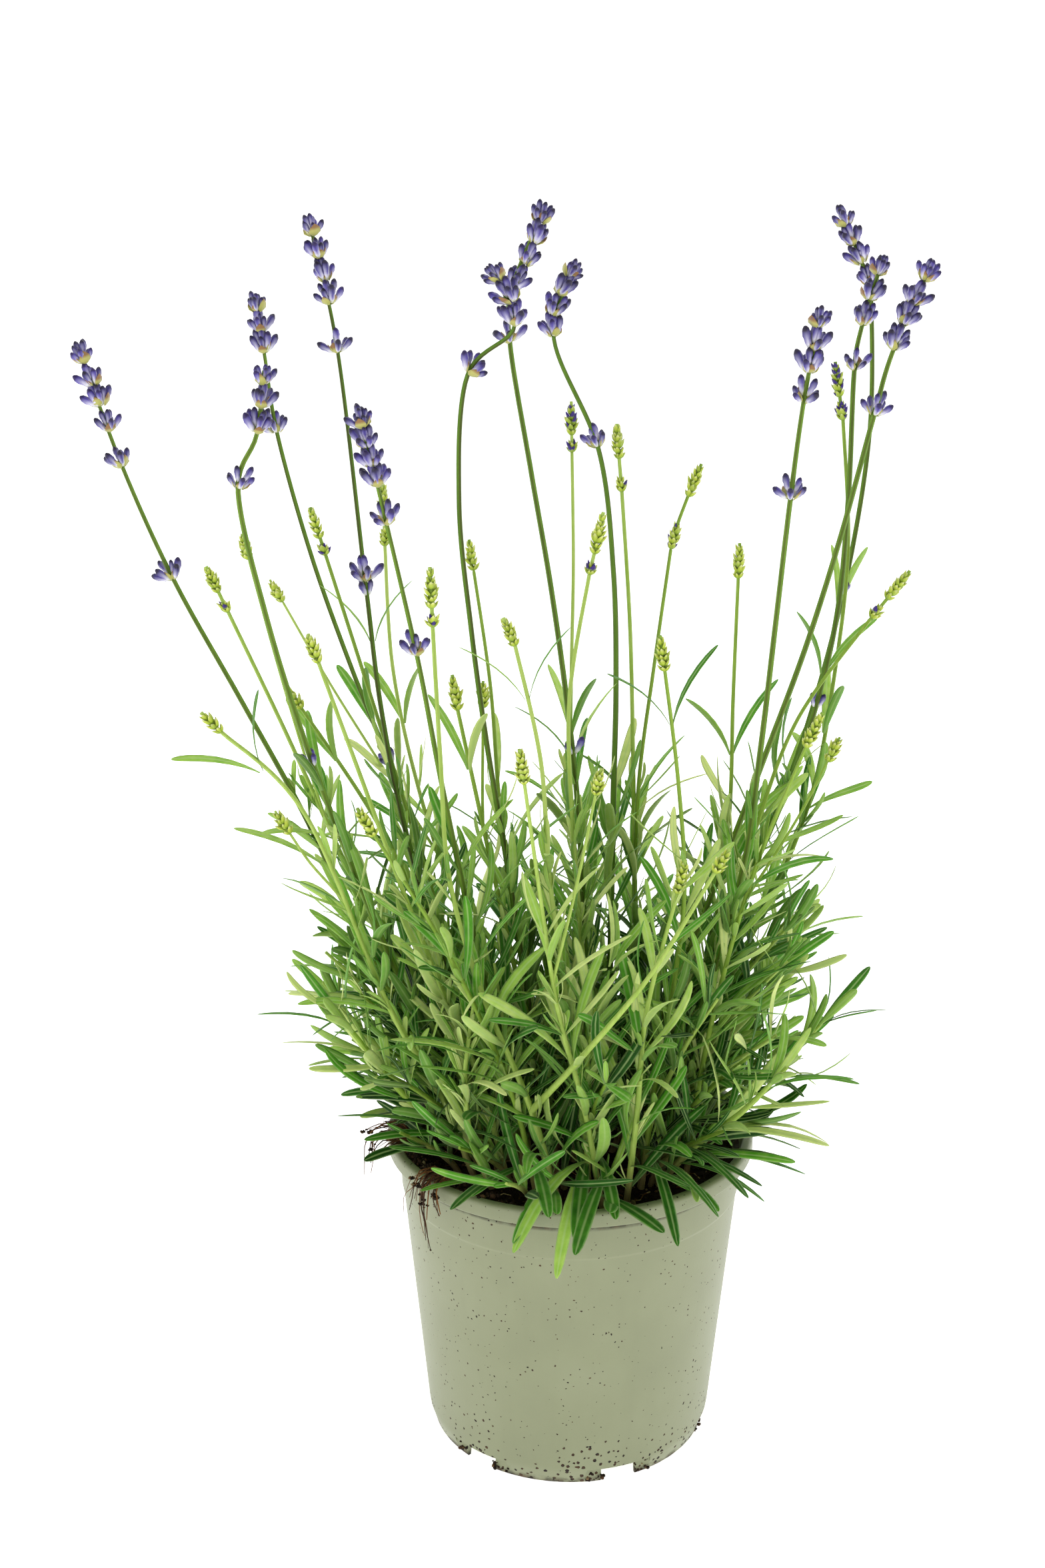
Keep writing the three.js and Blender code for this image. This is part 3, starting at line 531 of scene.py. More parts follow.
def pot_plastic():
    """Sage polypropylene, injection moulded: even and faintly mottled, satin, specked with dry soil, with
    painted shade under the lip.
    """
    made, tree, shader = material("polypropylene_injection_moulded", Roughness=0.42, IOR=1.49)
    place = add(tree, "ShaderNodeTexCoord").outputs["Object"]
    height = add(tree, "ShaderNodeSeparateXYZ", {0: place}).outputs[2]
    mottle = add(tree, "ShaderNodeTexNoise", {0: place, "Scale": per_mm(28), "Detail": 4.0}).outputs[0]
    plastic = stops(
        add(
            tree, "ShaderNodeValToRGB", {0: mottle}
        ), (0.25, "#848969"), (0.5, "#888D6C"), (0.75, "#8C9171")
    )
    streaks = add(tree, "ShaderNodeMapping", {0: place, 3: (1.0, 1.0, 0.06)}).outputs[0]
    streaks = add(
        tree, "ShaderNodeTexNoise", {0: streaks, "Scale": per_mm(9), "Detail": 3.0}
    ).outputs[0]
    streaks = add(tree, "ShaderNodeMapRange", {0: streaks, 1: 0.5, 2: 0.8, 3: 0.0, 4: 0.35}).outputs[0]
    plastic = add(
        tree, "ShaderNodeMix", {0: streaks, 6: plastic, 7: colour("#7F8464")}, data_type="RGBA"
    ).outputs[2]
    # Painted shade under the lip: a mottled darker band over the 14 mm below it.
    under_lip_shade = add(
        tree, "ShaderNodeMapRange", {0: height, 1: LIP_FOOT - 14 * MM, 2: LIP_FOOT, 3: 0.0, 4: 0.45}
    ).outputs[0]
    shade_mottle = add(tree, "ShaderNodeTexNoise", {0: place, "Scale": per_mm(16), "Detail": 5.0}).outputs[0]
    shade_mottle = add(tree, "ShaderNodeMath", {0: shade_mottle, 1: under_lip_shade}, operation="MULTIPLY").outputs[0]
    plastic = add(
        tree, "ShaderNodeMix", {0: shade_mottle, 6: plastic, 7: colour("#6C7351")}, data_type="RGBA"
    ).outputs[2]
    # Specks of soil, from 0.3 to 1 mm, thickest at the foot where the pot stood on wet ground.
    near_foot = add(
        tree, "ShaderNodeMapRange", {0: height, 1: 2 * MM, 2: 26 * MM, 3: 0.4, 4: 0.165}
    ).outputs[0]
    patches = add(tree, "ShaderNodeTexNoise", {0: place, "Scale": per_mm(14), "Detail": 3.0}).outputs[0]
    patches = add(
        tree, "ShaderNodeMapRange", {0: patches, 1: 0.35, 2: 0.68, 3: 0.35, 4: 1.0}
    ).outputs[0]
    size = add(tree, "ShaderNodeMath", {0: near_foot, 1: patches}, operation="MULTIPLY").outputs[0]
    wavy = add(tree, "ShaderNodeTexNoise", {0: place, "Scale": per_mm(0.9)}).outputs[1]
    wavy = add(
        tree, "ShaderNodeVectorMath", {
            0: wavy, 1: (0.0009, 0.0009, 0.0009), 2: place
        }, operation="MULTIPLY_ADD"
    ).outputs[0]
    specks = add(tree, "ShaderNodeTexVoronoi", {0: wavy, "Scale": per_mm(2.3)}).outputs[0]
    soil_and_shade = add(tree, "ShaderNodeMath", {0: specks, 1: size}, operation="LESS_THAN").outputs[0]
    crumb = add(tree, "ShaderNodeTexNoise", {0: place, "Scale": per_mm(2)}).outputs[0]
    crumb = stops(add(tree, "ShaderNodeValToRGB", {0: crumb}), (0.4, "#1E1610"), (0.65, "#4A3420"))
    # Painted shade in a thin dark line just under the lip, partly in patches of crumb colour; and a patchy
    # line of soil along the foot.
    corner = add(
        tree, "ShaderNodeMapRange", {0: height, 1: LIP_FOOT - 3.4 * MM, 2: LIP_FOOT - 1.6 * MM}
    ).outputs[0]
    top = add(
        tree, "ShaderNodeMath", {0: height, 1: LIP_FOOT + 0.2 * MM}, operation="LESS_THAN"
    ).outputs[0]
    shade = add(tree, "ShaderNodeMath", {0: corner, 1: top}, operation="MULTIPLY").outputs[0]
    plastic = add(
        tree, "ShaderNodeMix", {0: shade, 6: plastic, 7: colour("#4F553A")}, data_type="RGBA"
    ).outputs[2]
    foot = add(
        tree, "ShaderNodeMapRange", {0: height, 1: 0.3 * MM, 2: 3.0 * MM, 3: 1.0, 4: 0.0}
    ).outputs[0]
    # lines holds the painted shade under the lip and the soil along the foot.
    lines = add(tree, "ShaderNodeMath", {0: shade, 1: foot}, operation="MAXIMUM").outputs[0]
    soil_and_shade_patches = add(tree, "ShaderNodeTexNoise", {0: place, "Scale": per_mm(5), "Detail": 6.0}).outputs[0]
    soil_and_shade_patches = add(tree, "ShaderNodeMapRange", {0: soil_and_shade_patches, 1: 0.4, 2: 0.55}).outputs[0]
    lines = add(tree, "ShaderNodeMath", {0: lines, 1: soil_and_shade_patches}, operation="MULTIPLY").outputs[0]
    soil_and_shade = add(tree, "ShaderNodeMath", {0: soil_and_shade, 1: lines}, operation="MAXIMUM").outputs[0]
    seen = add(tree, "ShaderNodeMix", {0: soil_and_shade, 6: plastic, 7: crumb}, data_type="RGBA").outputs[2]
    matt = add(tree, "ShaderNodeMapRange", {0: soil_and_shade, 3: 0.42, 4: 0.9}).outputs[0]
    tree.links.new(matt, shader["Roughness"])
    # The mould's fine spark grain, drawn at 0.8 mm so that it shows.
    grain = add(tree, "ShaderNodeTexNoise", {0: place, "Scale": per_mm(0.8), "Detail": 2.0}).outputs[0]
    raised = add(
        tree, "ShaderNodeMath", {0: soil_and_shade, 1: 3.0, 2: grain}, operation="MULTIPLY_ADD"
    ).outputs[0]
    return surfaced(made, seen, raised, 0.18, 0.2 * MM)


def potting_soil():
    """Peat potting compost: near-black crumbs, dull and open, with brown bark and pale dry bits."""
    made, tree, _ = material("peat_compost_crumbled", Roughness=0.95, Specular_IOR_Level=0.2)
    place, tint = readings(tree, "tint")
    lumps = add(tree, "ShaderNodeTexNoise", {0: place, "Scale": per_mm(3.5), "Detail": 8.0}).outputs[0]
    dark = stops(
        add(
            tree, "ShaderNodeValToRGB", {0: lumps}
        ), (0.3, "#17110D"), (0.5, "#2B2018"), (0.68, "#4A3626")
    )
    each = stops(
        add(tree, "ShaderNodeValToRGB", {0: tint}),
        (0.0, "#1B140F"), (0.6, "#33261C"), (0.86, "#5A4029"), (0.95, "#8A6B45"), (1.0, "#C9B28A"),
    )
    seen = add(tree, "ShaderNodeMix", {0: 0.55, 6: dark, 7: each}, data_type="RGBA").outputs[2]
    fine = add(tree, "ShaderNodeTexNoise", {0: place, "Scale": per_mm(0.7), "Detail": 6.0}).outputs[0]
    return surfaced(made, seen, fine, 0.8, 0.5 * MM)


def dry_root():
    """Dry fine root and straw: brown, dull, paler where the skin has worn off."""
    made, tree, _ = material("root_dried", Roughness=0.85, Specular_IOR_Level=0.3)
    place, tint = readings(tree, "tint")
    worn = add(tree, "ShaderNodeTexNoise", {0: place, "Scale": per_mm(4), "Detail": 4.0}).outputs[0]
    worn = add(tree, "ShaderNodeMath", {0: worn, 1: 0.6, 2: tint}, operation="MULTIPLY_ADD").outputs[0]
    seen = stops(
        add(tree, "ShaderNodeValToRGB", {0: worn}),
        (0.2, "#20140B"), (0.55, "#452A14"), (0.95, "#7C5026"), (1.0, "#C8AE7C"),
    )
    skin = add(tree, "ShaderNodeTexNoise", {0: place, "Scale": per_mm(0.6), "Detail": 3.0}).outputs[0]
    return surfaced(made, seen, skin, 0.5, 0.15 * MM)


def bark():
    """Lavender bark: grey-brown, with long shallow cracks up the stem."""
    made, tree, _ = material("lavender_bark_flaking", Roughness=0.9, Specular_IOR_Level=0.25)
    place = add(tree, "ShaderNodeTexCoord").outputs["Object"]
    long = add(tree, "ShaderNodeMapping", {0: place, 3: (1.0, 1.0, 0.22)}).outputs[0]
    cracks = add(tree, "ShaderNodeTexNoise", {0: long, "Scale": per_mm(1.6), "Detail": 6.0}).outputs[0]
    seen = stops(
        add(
            tree, "ShaderNodeValToRGB", {0: cracks}
        ), (0.35, "#3B2A1C"), (0.52, "#7A6248"), (0.7, "#A58F6E")
    )
    return surfaced(made, seen, cracks, 0.9, 0.4 * MM)


def green_stem():
    """Soft four-sided stem: green, with a brown flush down two of its edges and a woody foot."""
    made, tree, _ = material("lavender_stem_living", Roughness=0.5, Specular_IOR_Level=0.2)
    place, young, side = readings(tree, "young", "side")
    height = add(tree, "ShaderNodeSeparateXYZ", {0: place}).outputs[2]
    streaks = add(tree, "ShaderNodeMapping", {0: place, 3: (1.0, 1.0, 0.08)}).outputs[0]
    streaks = add(
        tree, "ShaderNodeTexNoise", {0: streaks, "Scale": per_mm(1.2), "Detail": 3.0}
    ).outputs[0]
    mixed = add(
        tree, "ShaderNodeMath", {0: streaks, 1: 0.35, 2: young}, operation="MULTIPLY_ADD"
    ).outputs[0]
    green = stops(
        add(tree, "ShaderNodeValToRGB", {0: mixed}),
        (0.1, "#38560F"), (0.4, "#5C7F22"), (0.75, "#8BAC3E"), (1.0, "#B2CA68"),
    )
    flush = add(tree, "ShaderNodeMapRange", {0: side, 1: 0.2, 2: 0.9, 3: 0.0, 4: 0.9}).outputs[0]
    old = add(tree, "ShaderNodeMapRange", {0: young, 1: 0.0, 2: 0.6, 3: 1.0, 4: 0.15}).outputs[0]
    flush = add(tree, "ShaderNodeMath", {0: flush, 1: old}, operation="MULTIPLY").outputs[0]
    green = add(
        tree, "ShaderNodeMix", {0: flush, 6: green, 7: colour("#3D2C18")}, data_type="RGBA"
    ).outputs[2]
    wood = add(
        tree, "ShaderNodeMapRange", {0: height, 1: 110 * MM, 2: 128 * MM, 3: 0.85, 4: 0.0}
    ).outputs[0]
    seen = add(
        tree, "ShaderNodeMix", {0: wood, 6: green, 7: colour("#8A7350")}, data_type="RGBA"
    ).outputs[2]
    return surfaced(made, seen, streaks, 0.35, 0.15 * MM)


def downy_leaf():
    """Narrow lavender leaf: green and downy, pale along the groove, the rolled edges and underneath."""
    made, tree, _ = material(
        "lavender_leaf_living", Roughness=0.5, Sheen_Weight=0.03, Sheen_Roughness=0.5,
        Specular_IOR_Level=0.15,
        Subsurface_Weight=0.05, Subsurface_Radius=(0.3, 0.6, 0.1), Subsurface_Scale=1 * MM,
    )
    place, tint, across, under, share = readings(tree, "tint", "across", "under", "share")
    blotch = add(tree, "ShaderNodeTexNoise", {0: place, "Scale": per_mm(4), "Detail": 4.0}).outputs[0]
    mixed = add(
        tree, "ShaderNodeMath", {0: blotch, 1: 0.3, 2: tint}, operation="MULTIPLY_ADD"
    ).outputs[0]
    green = stops(
        add(tree, "ShaderNodeValToRGB", {0: mixed}),
        (0.08, "#0B2A04"), (0.3, "#27630E"), (0.54, "#559B25"), (0.8, "#A4CB56"), (1.0, "#D8E68E"),
    )
    from_groove = add(tree, "ShaderNodeMath", {0: across}, operation="ABSOLUTE").outputs[0]
    groove = add(
        tree, "ShaderNodeMapRange", {0: from_groove, 1: 0.05, 2: 0.25, 3: 0.5, 4: 0.0}
    ).outputs[0]
    edge = add(tree, "ShaderNodeMapRange", {0: from_groove, 1: 0.74, 2: 1.0, 3: 0.0, 4: 0.6}).outputs[0]
    pale = add(tree, "ShaderNodeMath", {0: groove, 1: edge}, operation="ADD").outputs[0]
    base = add(tree, "ShaderNodeMapRange", {0: share, 1: 0.0, 2: 0.25, 3: 0.45, 4: 0.0}).outputs[0]
    pale = add(tree, "ShaderNodeMath", {0: pale, 1: base}, operation="MAXIMUM").outputs[0]
    green = add(
        tree, "ShaderNodeMix", {0: pale, 6: green, 7: colour("#BAD48C")}, data_type="RGBA"
    ).outputs[2]
    below = add(tree, "ShaderNodeMath", {0: under, 1: 0.55}, operation="MULTIPLY").outputs[0]
    seen = add(
        tree, "ShaderNodeMix", {0: below, 6: green, 7: colour("#789848")}, data_type="RGBA"
    ).outputs[2]
    down = add(tree, "ShaderNodeTexNoise", {0: place, "Scale": per_mm(0.5), "Detail": 3.0}).outputs[0]
    return surfaced(made, seen, down, 0.35, 0.12 * MM)


def floret_petal():
    """Lavender floret: a ribbed woolly calyx, green at the foot, and deep violet to near-black tips."""
    made, tree, _ = material(
        "lavender_floret_living", Roughness=0.5, Sheen_Weight=0.15, Sheen_Roughness=0.4
    )
    place, share, tint, rib = readings(tree, "share", "tint", "rib")
    worn = add(tree, "ShaderNodeTexNoise", {0: place, "Scale": per_mm(1.2), "Detail": 4.0}).outputs[0]
    up = add(tree, "ShaderNodeMath", {0: worn, 1: 0.22, 2: share}, operation="MULTIPLY_ADD").outputs[0]
    deep = stops(
        add(tree, "ShaderNodeValToRGB", {0: up}),
        (0.14, "#B4B958"), (0.3, "#CFCDD6"), (0.46, "#7468B4"),
        (0.58, "#3F2F92"), (0.84, "#2E2076"), (1.0, "#190F30"),
    )
    light = stops(
        add(tree, "ShaderNodeValToRGB", {0: up}),
        (0.14, "#C6C975"), (0.34, "#E2E0EA"), (0.56, "#9C92CC"),
        (0.7, "#5747A8"), (0.88, "#43329A"), (1.0, "#2A1858"),
    )
    pick = add(tree, "ShaderNodeMapRange", {0: tint, 1: 0.45, 2: 0.95, 3: 0.0, 4: 0.9}).outputs[0]
    violet = add(tree, "ShaderNodeMix", {0: pick, 6: deep, 7: light}, data_type="RGBA").outputs[2]
    # White down stands along the ribs, mostly low on the calyx.
    low = add(tree, "ShaderNodeMapRange", {0: share, 1: 0.25, 2: 0.85, 3: 0.9, 4: 0.0}).outputs[0]
    down = add(tree, "ShaderNodeMath", {0: rib, 1: low}, operation="MULTIPLY").outputs[0]
    seen = add(
        tree, "ShaderNodeMix", {0: down, 6: violet, 7: colour("#E4E2EC")}, data_type="RGBA"
    ).outputs[2]
    return surfaced(made, seen, worn, 0.5, 0.15 * MM)


def bud_scale():
    """Unopened head: green scales, yellower to their papery points, violet where they are ripe."""
    made, tree, _ = material(
        "lavender_bud_living", Roughness=0.55, Sheen_Weight=0.08, Specular_IOR_Level=0.25
    )
    place, share, tint, ripe = readings(tree, "share", "tint", "ripe")
    worn = add(tree, "ShaderNodeTexNoise", {0: place, "Scale": per_mm(1.0), "Detail": 3.0}).outputs[0]
    up = add(tree, "ShaderNodeMath", {0: worn, 1: 0.25, 2: share}, operation="MULTIPLY_ADD").outputs[0]
    green = stops(
        add(tree, "ShaderNodeValToRGB", {0: up}),
        (0.1, "#7C962C"), (0.45, "#A2BA34"), (0.8, "#BECB4C"), (1.0, "#DCE294"),
    )
    dark = add(tree, "ShaderNodeMapRange", {0: tint, 1: 0.5, 2: 1.0, 3: 0.0, 4: 0.45}).outputs[0]
    green = add(
        tree, "ShaderNodeMix", {0: dark, 6: green, 7: colour("#7F9C3C")}, data_type="RGBA"
    ).outputs[2]
    chosen = add(tree, "ShaderNodeMath", {0: tint, 1: ripe}, operation="LESS_THAN").outputs[0]
    tips = add(tree, "ShaderNodeMapRange", {0: up, 1: 0.4, 2: 0.65}).outputs[0]
    tips = add(tree, "ShaderNodeMath", {0: tips, 1: chosen}, operation="MULTIPLY").outputs[0]
    seen = add(
        tree, "ShaderNodeMix", {0: tips, 6: green, 7: colour("#3F2E7C")}, data_type="RGBA"
    ).outputs[2]
    return surfaced(made, seen, worn, 0.4, 0.12 * MM)


def dry_bract():
    """Papery bract under a whorl: yellow-green, browning from its point."""
    made, tree, _ = material("lavender_bract_papery", Roughness=0.7, Sheen_Weight=0.2)
    place, share, tint = readings(tree, "share", "tint")
    veins = add(tree, "ShaderNodeTexNoise", {0: place, "Scale": per_mm(0.9), "Detail": 3.0}).outputs[0]
    up = add(tree, "ShaderNodeMath", {0: tint, 1: 0.45, 2: share}, operation="MULTIPLY_ADD").outputs[0]
    seen = stops(
        add(tree, "ShaderNodeValToRGB", {0: up}), (0.2, "#A5A84A"), (0.8, "#B5B062"), (1.0, "#8F6A3E")
    )
    return surfaced(made, seen, veins, 0.4, 0.1 * MM)


def white_sweep():
    """White studio paper under the plant, lit a little from behind so that it stays white."""
    made, _, shader = material("paper_sweep_white", Roughness=0.95)
    shader["Base Color"].default_value = colour("#F4F4F4")
    shader["Emission Color"].default_value = colour("#FFFFFF")
    shader["Emission Strength"].default_value = 0.83
    return made


# ---- pot ----


def lathe(outline, sides):
    """Points and faces of a closed outline turned about Z; the outline starts and ends on the axis."""
    points = [(0, 0, outline[0][1])]
    for r, z in outline[1:-1]:
        angles = np.arange(sides) * 2 * math.pi / sides
        points += [(r * math.cos(a), r * math.sin(a), z) for a in angles]
    points.append((0, 0, outline[-1][1]))
    rows = len(outline) - 2
    faces = []
    for i in range(sides):
        j = (i + 1) % sides
        faces.append((0, 1 + j, 1 + i))
        for row in range(rows - 1):
            a, b = 1 + row * sides, 1 + (row + 1) * sides
            faces.append((a + i, a + j, b + j, b + i))
        last = 1 + (rows - 1) * sides
        faces.append((last + i, last + j, len(points) - 1))
    return points, faces


def rounded(centre, radius, start, stop, steps=5):
    """Points on an arc of an outline, angles in degrees."""
    angles = np.radians(np.linspace(start, stop, steps))
    return [(centre[0] + radius * math.cos(a), centre[1] + radius * math.sin(a)) for a in angles]


def box_at(angle, low, high):
    """A box between two corners, turned about Z to an angle."""
    corners = [
        (x, y, z) for x in (low[0], high[0]) for y in (low[1], high[1]) for z in (low[2], high[2])
    ]
    spin = [(x * math.cos(angle) - y * math.sin(angle), x * math.sin(angle) + y * math.cos(angle), z)
            for x, y, z in corners]
    faces = [(0, 1, 3, 2), (4, 6, 7, 5), (0, 4, 5, 1), (2, 3, 7, 6), (0, 2, 6, 4), (1, 5, 7, 3)]
    return shown("cutter", mesh_of("cutter", spin, (), faces))


def make_pot():
    outline = [
        (0, 0),
        (PAD_RADIUS, 0),
        (PAD_RADIUS + 0.5 * MM, FLOOR_UNDER),
        (FOOT_RADIUS - WALL - 0.6 * MM, FLOOR_UNDER),
        (FOOT_RADIUS - WALL, 0),
        (FOOT_RADIUS - 0.4 * MM, 0),
        (FOOT_RADIUS, 0.5 * MM),
        (WALL_FOOT_RADIUS - 0.25 * MM, FOOT_HEIGHT - 0.6 * MM),
        (WALL_FOOT_RADIUS, FOOT_HEIGHT),
        (WALL_FOOT_RADIUS + 0.3 * MM, FOOT_HEIGHT + 2 * MM),
        (WALL_TOP_RADIUS - 0.42 * MM, STACK_LINE - 0.8 * MM),
        (WALL_TOP_RADIUS - 0.36 * MM, STACK_LINE - 0.3 * MM),
        (WALL_TOP_RADIUS, STACK_LINE + 0.2 * MM),
        (WALL_TOP_RADIUS + 0.05 * MM, STACK_LINE + 0.7 * MM),
        (WALL_TOP_RADIUS + 0.5 * MM, LIP_FOOT - 0.3 * MM),
        (WALL_TOP_RADIUS + 0.8 * MM, LIP_FOOT),
        (LIP_RADIUS - 0.5 * MM, LIP_FOOT + 0.35 * MM),
        *rounded((LIP_RADIUS - 0.6 * MM, LIP_FOOT + 1.1 * MM), 0.6 * MM, -70, 0, 4),
        *rounded((LIP_RADIUS - 1.5 * MM, POT_HEIGHT - 1.5 * MM), 1.5 * MM, 0, 90, 6),
        *rounded((LIP_RADIUS - 2.6 * MM, POT_HEIGHT - 1.0 * MM), 1.0 * MM, 90, 165, 4),
        (WALL_TOP_RADIUS + 0.4 * MM, LIP_FOOT + 0.6 * MM),
        (WALL_TOP_RADIUS - WALL + 0.1 * MM, LIP_FOOT - 1.5 * MM),
        (WALL_TOP_RADIUS - WALL - 0.3 * MM, LIP_FOOT - 4 * MM),
        (WALL_FOOT_RADIUS - WALL, FLOOR_TOP + 1 * MM),
        (WALL_FOOT_RADIUS - WALL - 0.8 * MM, FLOOR_TOP),
        (0, FLOOR_TOP),
    ]
    pot = shown("pot_moulded", mesh_of("pot_moulded", *reordered(lathe(outline, POT_SIDES))))
    cutters = []
    for i in range(NOTCHES):
        angle = NOTCH_TURN + i / NOTCHES * 2 * math.pi
        far = FOOT_RADIUS + 4 * MM
        cutters.append(
            box_at(angle, (FOOT_RADIUS - 4 * MM, -6.5 * MM, -5 * MM), (far, 6.5 * MM, 5 * MM))
        )
        cutters.append(
            box_at(angle, (FOOT_RADIUS - 0.5 * MM, -12 * MM, -6 * MM), (far, 12 * MM, 6 * MM))
        )
        cutters.append(box_at(angle, (36 * MM, -4.5 * MM, 1 * MM), (40 * MM, 4.5 * MM, 8 * MM)))
    for cutter in cutters:
        cut = pot.modifiers.new("cut", "BOOLEAN")
        cut.object, cut.operation, cut.solver = cutter, "DIFFERENCE", "EXACT"
    depsgraph = bpy.context.evaluated_depsgraph_get()
    mesh = bpy.data.meshes.new_from_object(pot.evaluated_get(depsgraph), depsgraph=depsgraph)
    pot.modifiers.clear()
    pot.data = mesh
    removed(*cutters)
    mesh.materials.append(pot_plastic())
    mesh.polygons.foreach_set("use_smooth", [True] * len(mesh.polygons))
    mesh.set_sharp_from_angle(angle=math.radians(38))
    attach(pot, "root")
    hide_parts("pot")


def reordered(lathed):
    return lathed[0], (), lathed[1]


# ---- soil and roots ----

soil_tree = BVHTree.FromPolygons(
    [tuple(v.co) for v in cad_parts["soil"].data.vertices],
    [tuple(p.vertices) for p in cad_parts["soil"].data.polygons],
)
soil_low, soil_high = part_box("soil")


def soil_height(x, y):
    """The top of the frame's soil at a place, or at its edge for a place outside it."""
    hit = soil_tree.ray_cast(Vector((x, y, 1.0)), Vector((0, 0, -1)))[0]
    return hit.z if hit else soil_height(x * 0.98, y * 0.98)


def make_soil():
    """A rough, crumbled surface on the frame's soil, closed underneath, with loose crumbs on it."""
    sides, rows = 160, 44
    top_radius = WALL_TOP_RADIUS - WALL - 0.35 * MM
    points, thick = [(0, 0, soil_low.z)], [0]
    foot_radius = WALL_FOOT_RADIUS - WALL - 0.6 * MM
    rings = [(foot_radius, soil_low.z), (top_radius - 0.8 * MM, soil_high.z - 14 * MM)]
    angles = np.arange(sides) * 2 * math.pi / sides
    for r, z in rings:
        points += [(r * math.cos(a), r * math.sin(a), z) for a in angles]
        thick += [0] * sides
    for row in range(rows):
        r = top_radius * (1 - row / rows)
        for a in angles:
            x, y = r * math.cos(a), r * math.sin(a)
            lump = noise.fractal(Vector((x, y, 0)) / (7 * MM), 0.9, 2.1, 5)
            points.append((x, y, soil_height(x * 0.97, y * 0.97) + 1.5 * MM * lump))
            thick.append(1.0)
    points.append((0, 0, soil_height(0, 0)))
    thick.append(1.0)
    faces = []
    for i in range(sides):
        j = (i + 1) % sides
        faces.append((0, 1 + j, 1 + i))
        for row in range(rows + 1):
            a, b = 1 + row * sides, 1 + (row + 1) * sides
            faces.append((a + i, a + j, b + j, b + i))
        last = 1 + (rows + 1) * sides
        faces.append((last + i, last + j, len(points) - 1))
    looks = potting_soil()
    mesh = mesh_of("soil_surface", points, (), faces, tint=np.full(len(points), 0.3), thick=thick)
    mesh.materials.append(looks)
    mesh.polygons.foreach_set("use_smooth", [True] * len(mesh.polygons))
    soil = shown("soil_surface", mesh)
    crumb = shown("crumb", lump_mesh("crumb", 3))
    crumbs = grown(
        "soil_crumbs", soil.data.copy(), scatter_tree(), Template=crumb, Density=330000.0, Smallest=0.45,
        Largest=2.1, Seed=3, Material=looks,
    )
    removed(crumb)
    for piece in (soil, crumbs):
        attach(piece, "root")
    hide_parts("soil")


def lump_mesh(name, seed):
    """A small uneven lump, about a millimetre across."""
    golden = (1 + 5**0.5) / 2
    corners = [(a, b * golden, 0) for a in (-1, 1) for b in (-1, 1)]
    corners += [(0, a, b * golden) for a in (-1, 1) for b in (-1, 1)]
    corners += [(b * golden, 0, a) for a in (-1, 1) for b in (-1, 1)]
    hull = {}
    points = [unit(np.array(c, float)) for c in corners]
    points = [
        p * (0.42 + 0.2 * noise.noise(Vector(p * 1.7) + Vector((seed, 0, 0)))) * MM for p in points
    ]
    edge = 2 / math.sqrt(1 + golden**2)
    for i in range(12):
        for j in range(i + 1, 12):
            for k in range(j + 1, 12):
                sides = [np.linalg.norm(
                    unit(np.array(corners[p], float)) - unit(np.array(corners[q], float)))
                         for p, q in ((i, j), (j, k), (i, k))]
                if all(abs(s - edge) < 0.01 for s in sides):
                    facing = np.cross(points[j] - points[i], points[k] - points[i]) @ points[i]
                    hull[(i, j, k)] = (i, j, k) if facing > 0 else (i, k, j)
    return mesh_of(name, points, (), hull.values())


# ---- sweeps: stems, leaves and hairs ----


class Lines:
    """Lines to sweep, gathered with their values at each place."""

    def __init__(self):
        self.points, self.edges, self.values = [], [], {}

    def gather(self, line, **values):
        start = len(self.points)
        self.points += [tuple(p) for p in line]
        self.edges += [(start + i, start + i + 1) for i in range(len(line) - 1)]
        for key, value in values.items():
            value = np.asarray(value, float)
            if value.ndim == 0:
                value = np.full(len(line), value)
            self.values.setdefault(key, []).extend(value.tolist())

    def mesh(self, name):
        return mesh_of(name, self.points, self.edges, **self.values)


def section(name, places, **values):
    """A closed section to sweep, one unit in half width: its points are (up, across)."""
    loop = [(i, (i + 1) % len(places)) for i in range(len(places))]
    return shown(name, mesh_of(name, [(x, y, 0) for x, y in places], loop, **values))


STEM_ANGLES = np.arange(12) * 2 * math.pi / 12
STEM_SECTION = [(math.cos(a) * (1 + 0.09 * math.cos(4 * a)), math.sin(a) * (1 + 0.09 * math.cos(4 * a)))
                for a in STEM_ANGLES]
LEAF_SECTION = [(0.0, -1.0), (-0.07, -0.5), (-0.17, 0.0), (-0.07, 0.5), (0.0, 1.0), (0.13, 0.5), (0.0, 0.0),
                (0.13, -0.5)]
HAIR_SECTION = [(1, 0), (0, 1), (-1, 0), (0, -1)]


def is_clear(points, room=0.6 * MM):
    """Whether a line keeps out of the pot and the soil."""
    out = np.hypot(points[:, 0], points[:, 1])
    high = points[:, 2]
    in_wall = (
        out > WALL_TOP_RADIUS - WALL - room - 0.8 * MM
    ) & (out < LIP_RADIUS + room) & (high < POT_HEIGHT + room)
    in_soil = (out <= WALL_TOP_RADIUS) & (high < soil_high.z - 3 * MM)
    return not (in_wall | in_soil)[1:].any() and high.min() > 20 * MM


def add_leaf(leaves, line, ups, half, tint, twist=0.0):
    """Adds a leaf along a line, its upper face turned to ups, and twisted a little to its tip."""
    ahead = directions(line)
    ups = [square_to(turned(up, d, twist * s), d) for up, d, s in zip(ups, ahead, LEAF_STATIONS)]
    leaves.gather(line, up=ups, size=half * LEAF_WIDTHS, share=LEAF_STATIONS, tint=tint)


def frame_leaf(leaves, root, waist, tip, up, half, tint):
    """A leaf of the frame: one bend through its waist."""
    t = 0.45
    bend = (waist - (1 - t) ** 2 * root - t**2 * tip) / (2 * t * (1 - t))
    s = LEAF_STATIONS[:, None]
    line = (1 - s) ** 2 * root + 2 * s * (1 - s) * bend + s**2 * tip
    add_leaf(leaves, line, [up] * len(s), half, tint, RNG.uniform(-0.5, 0.5))


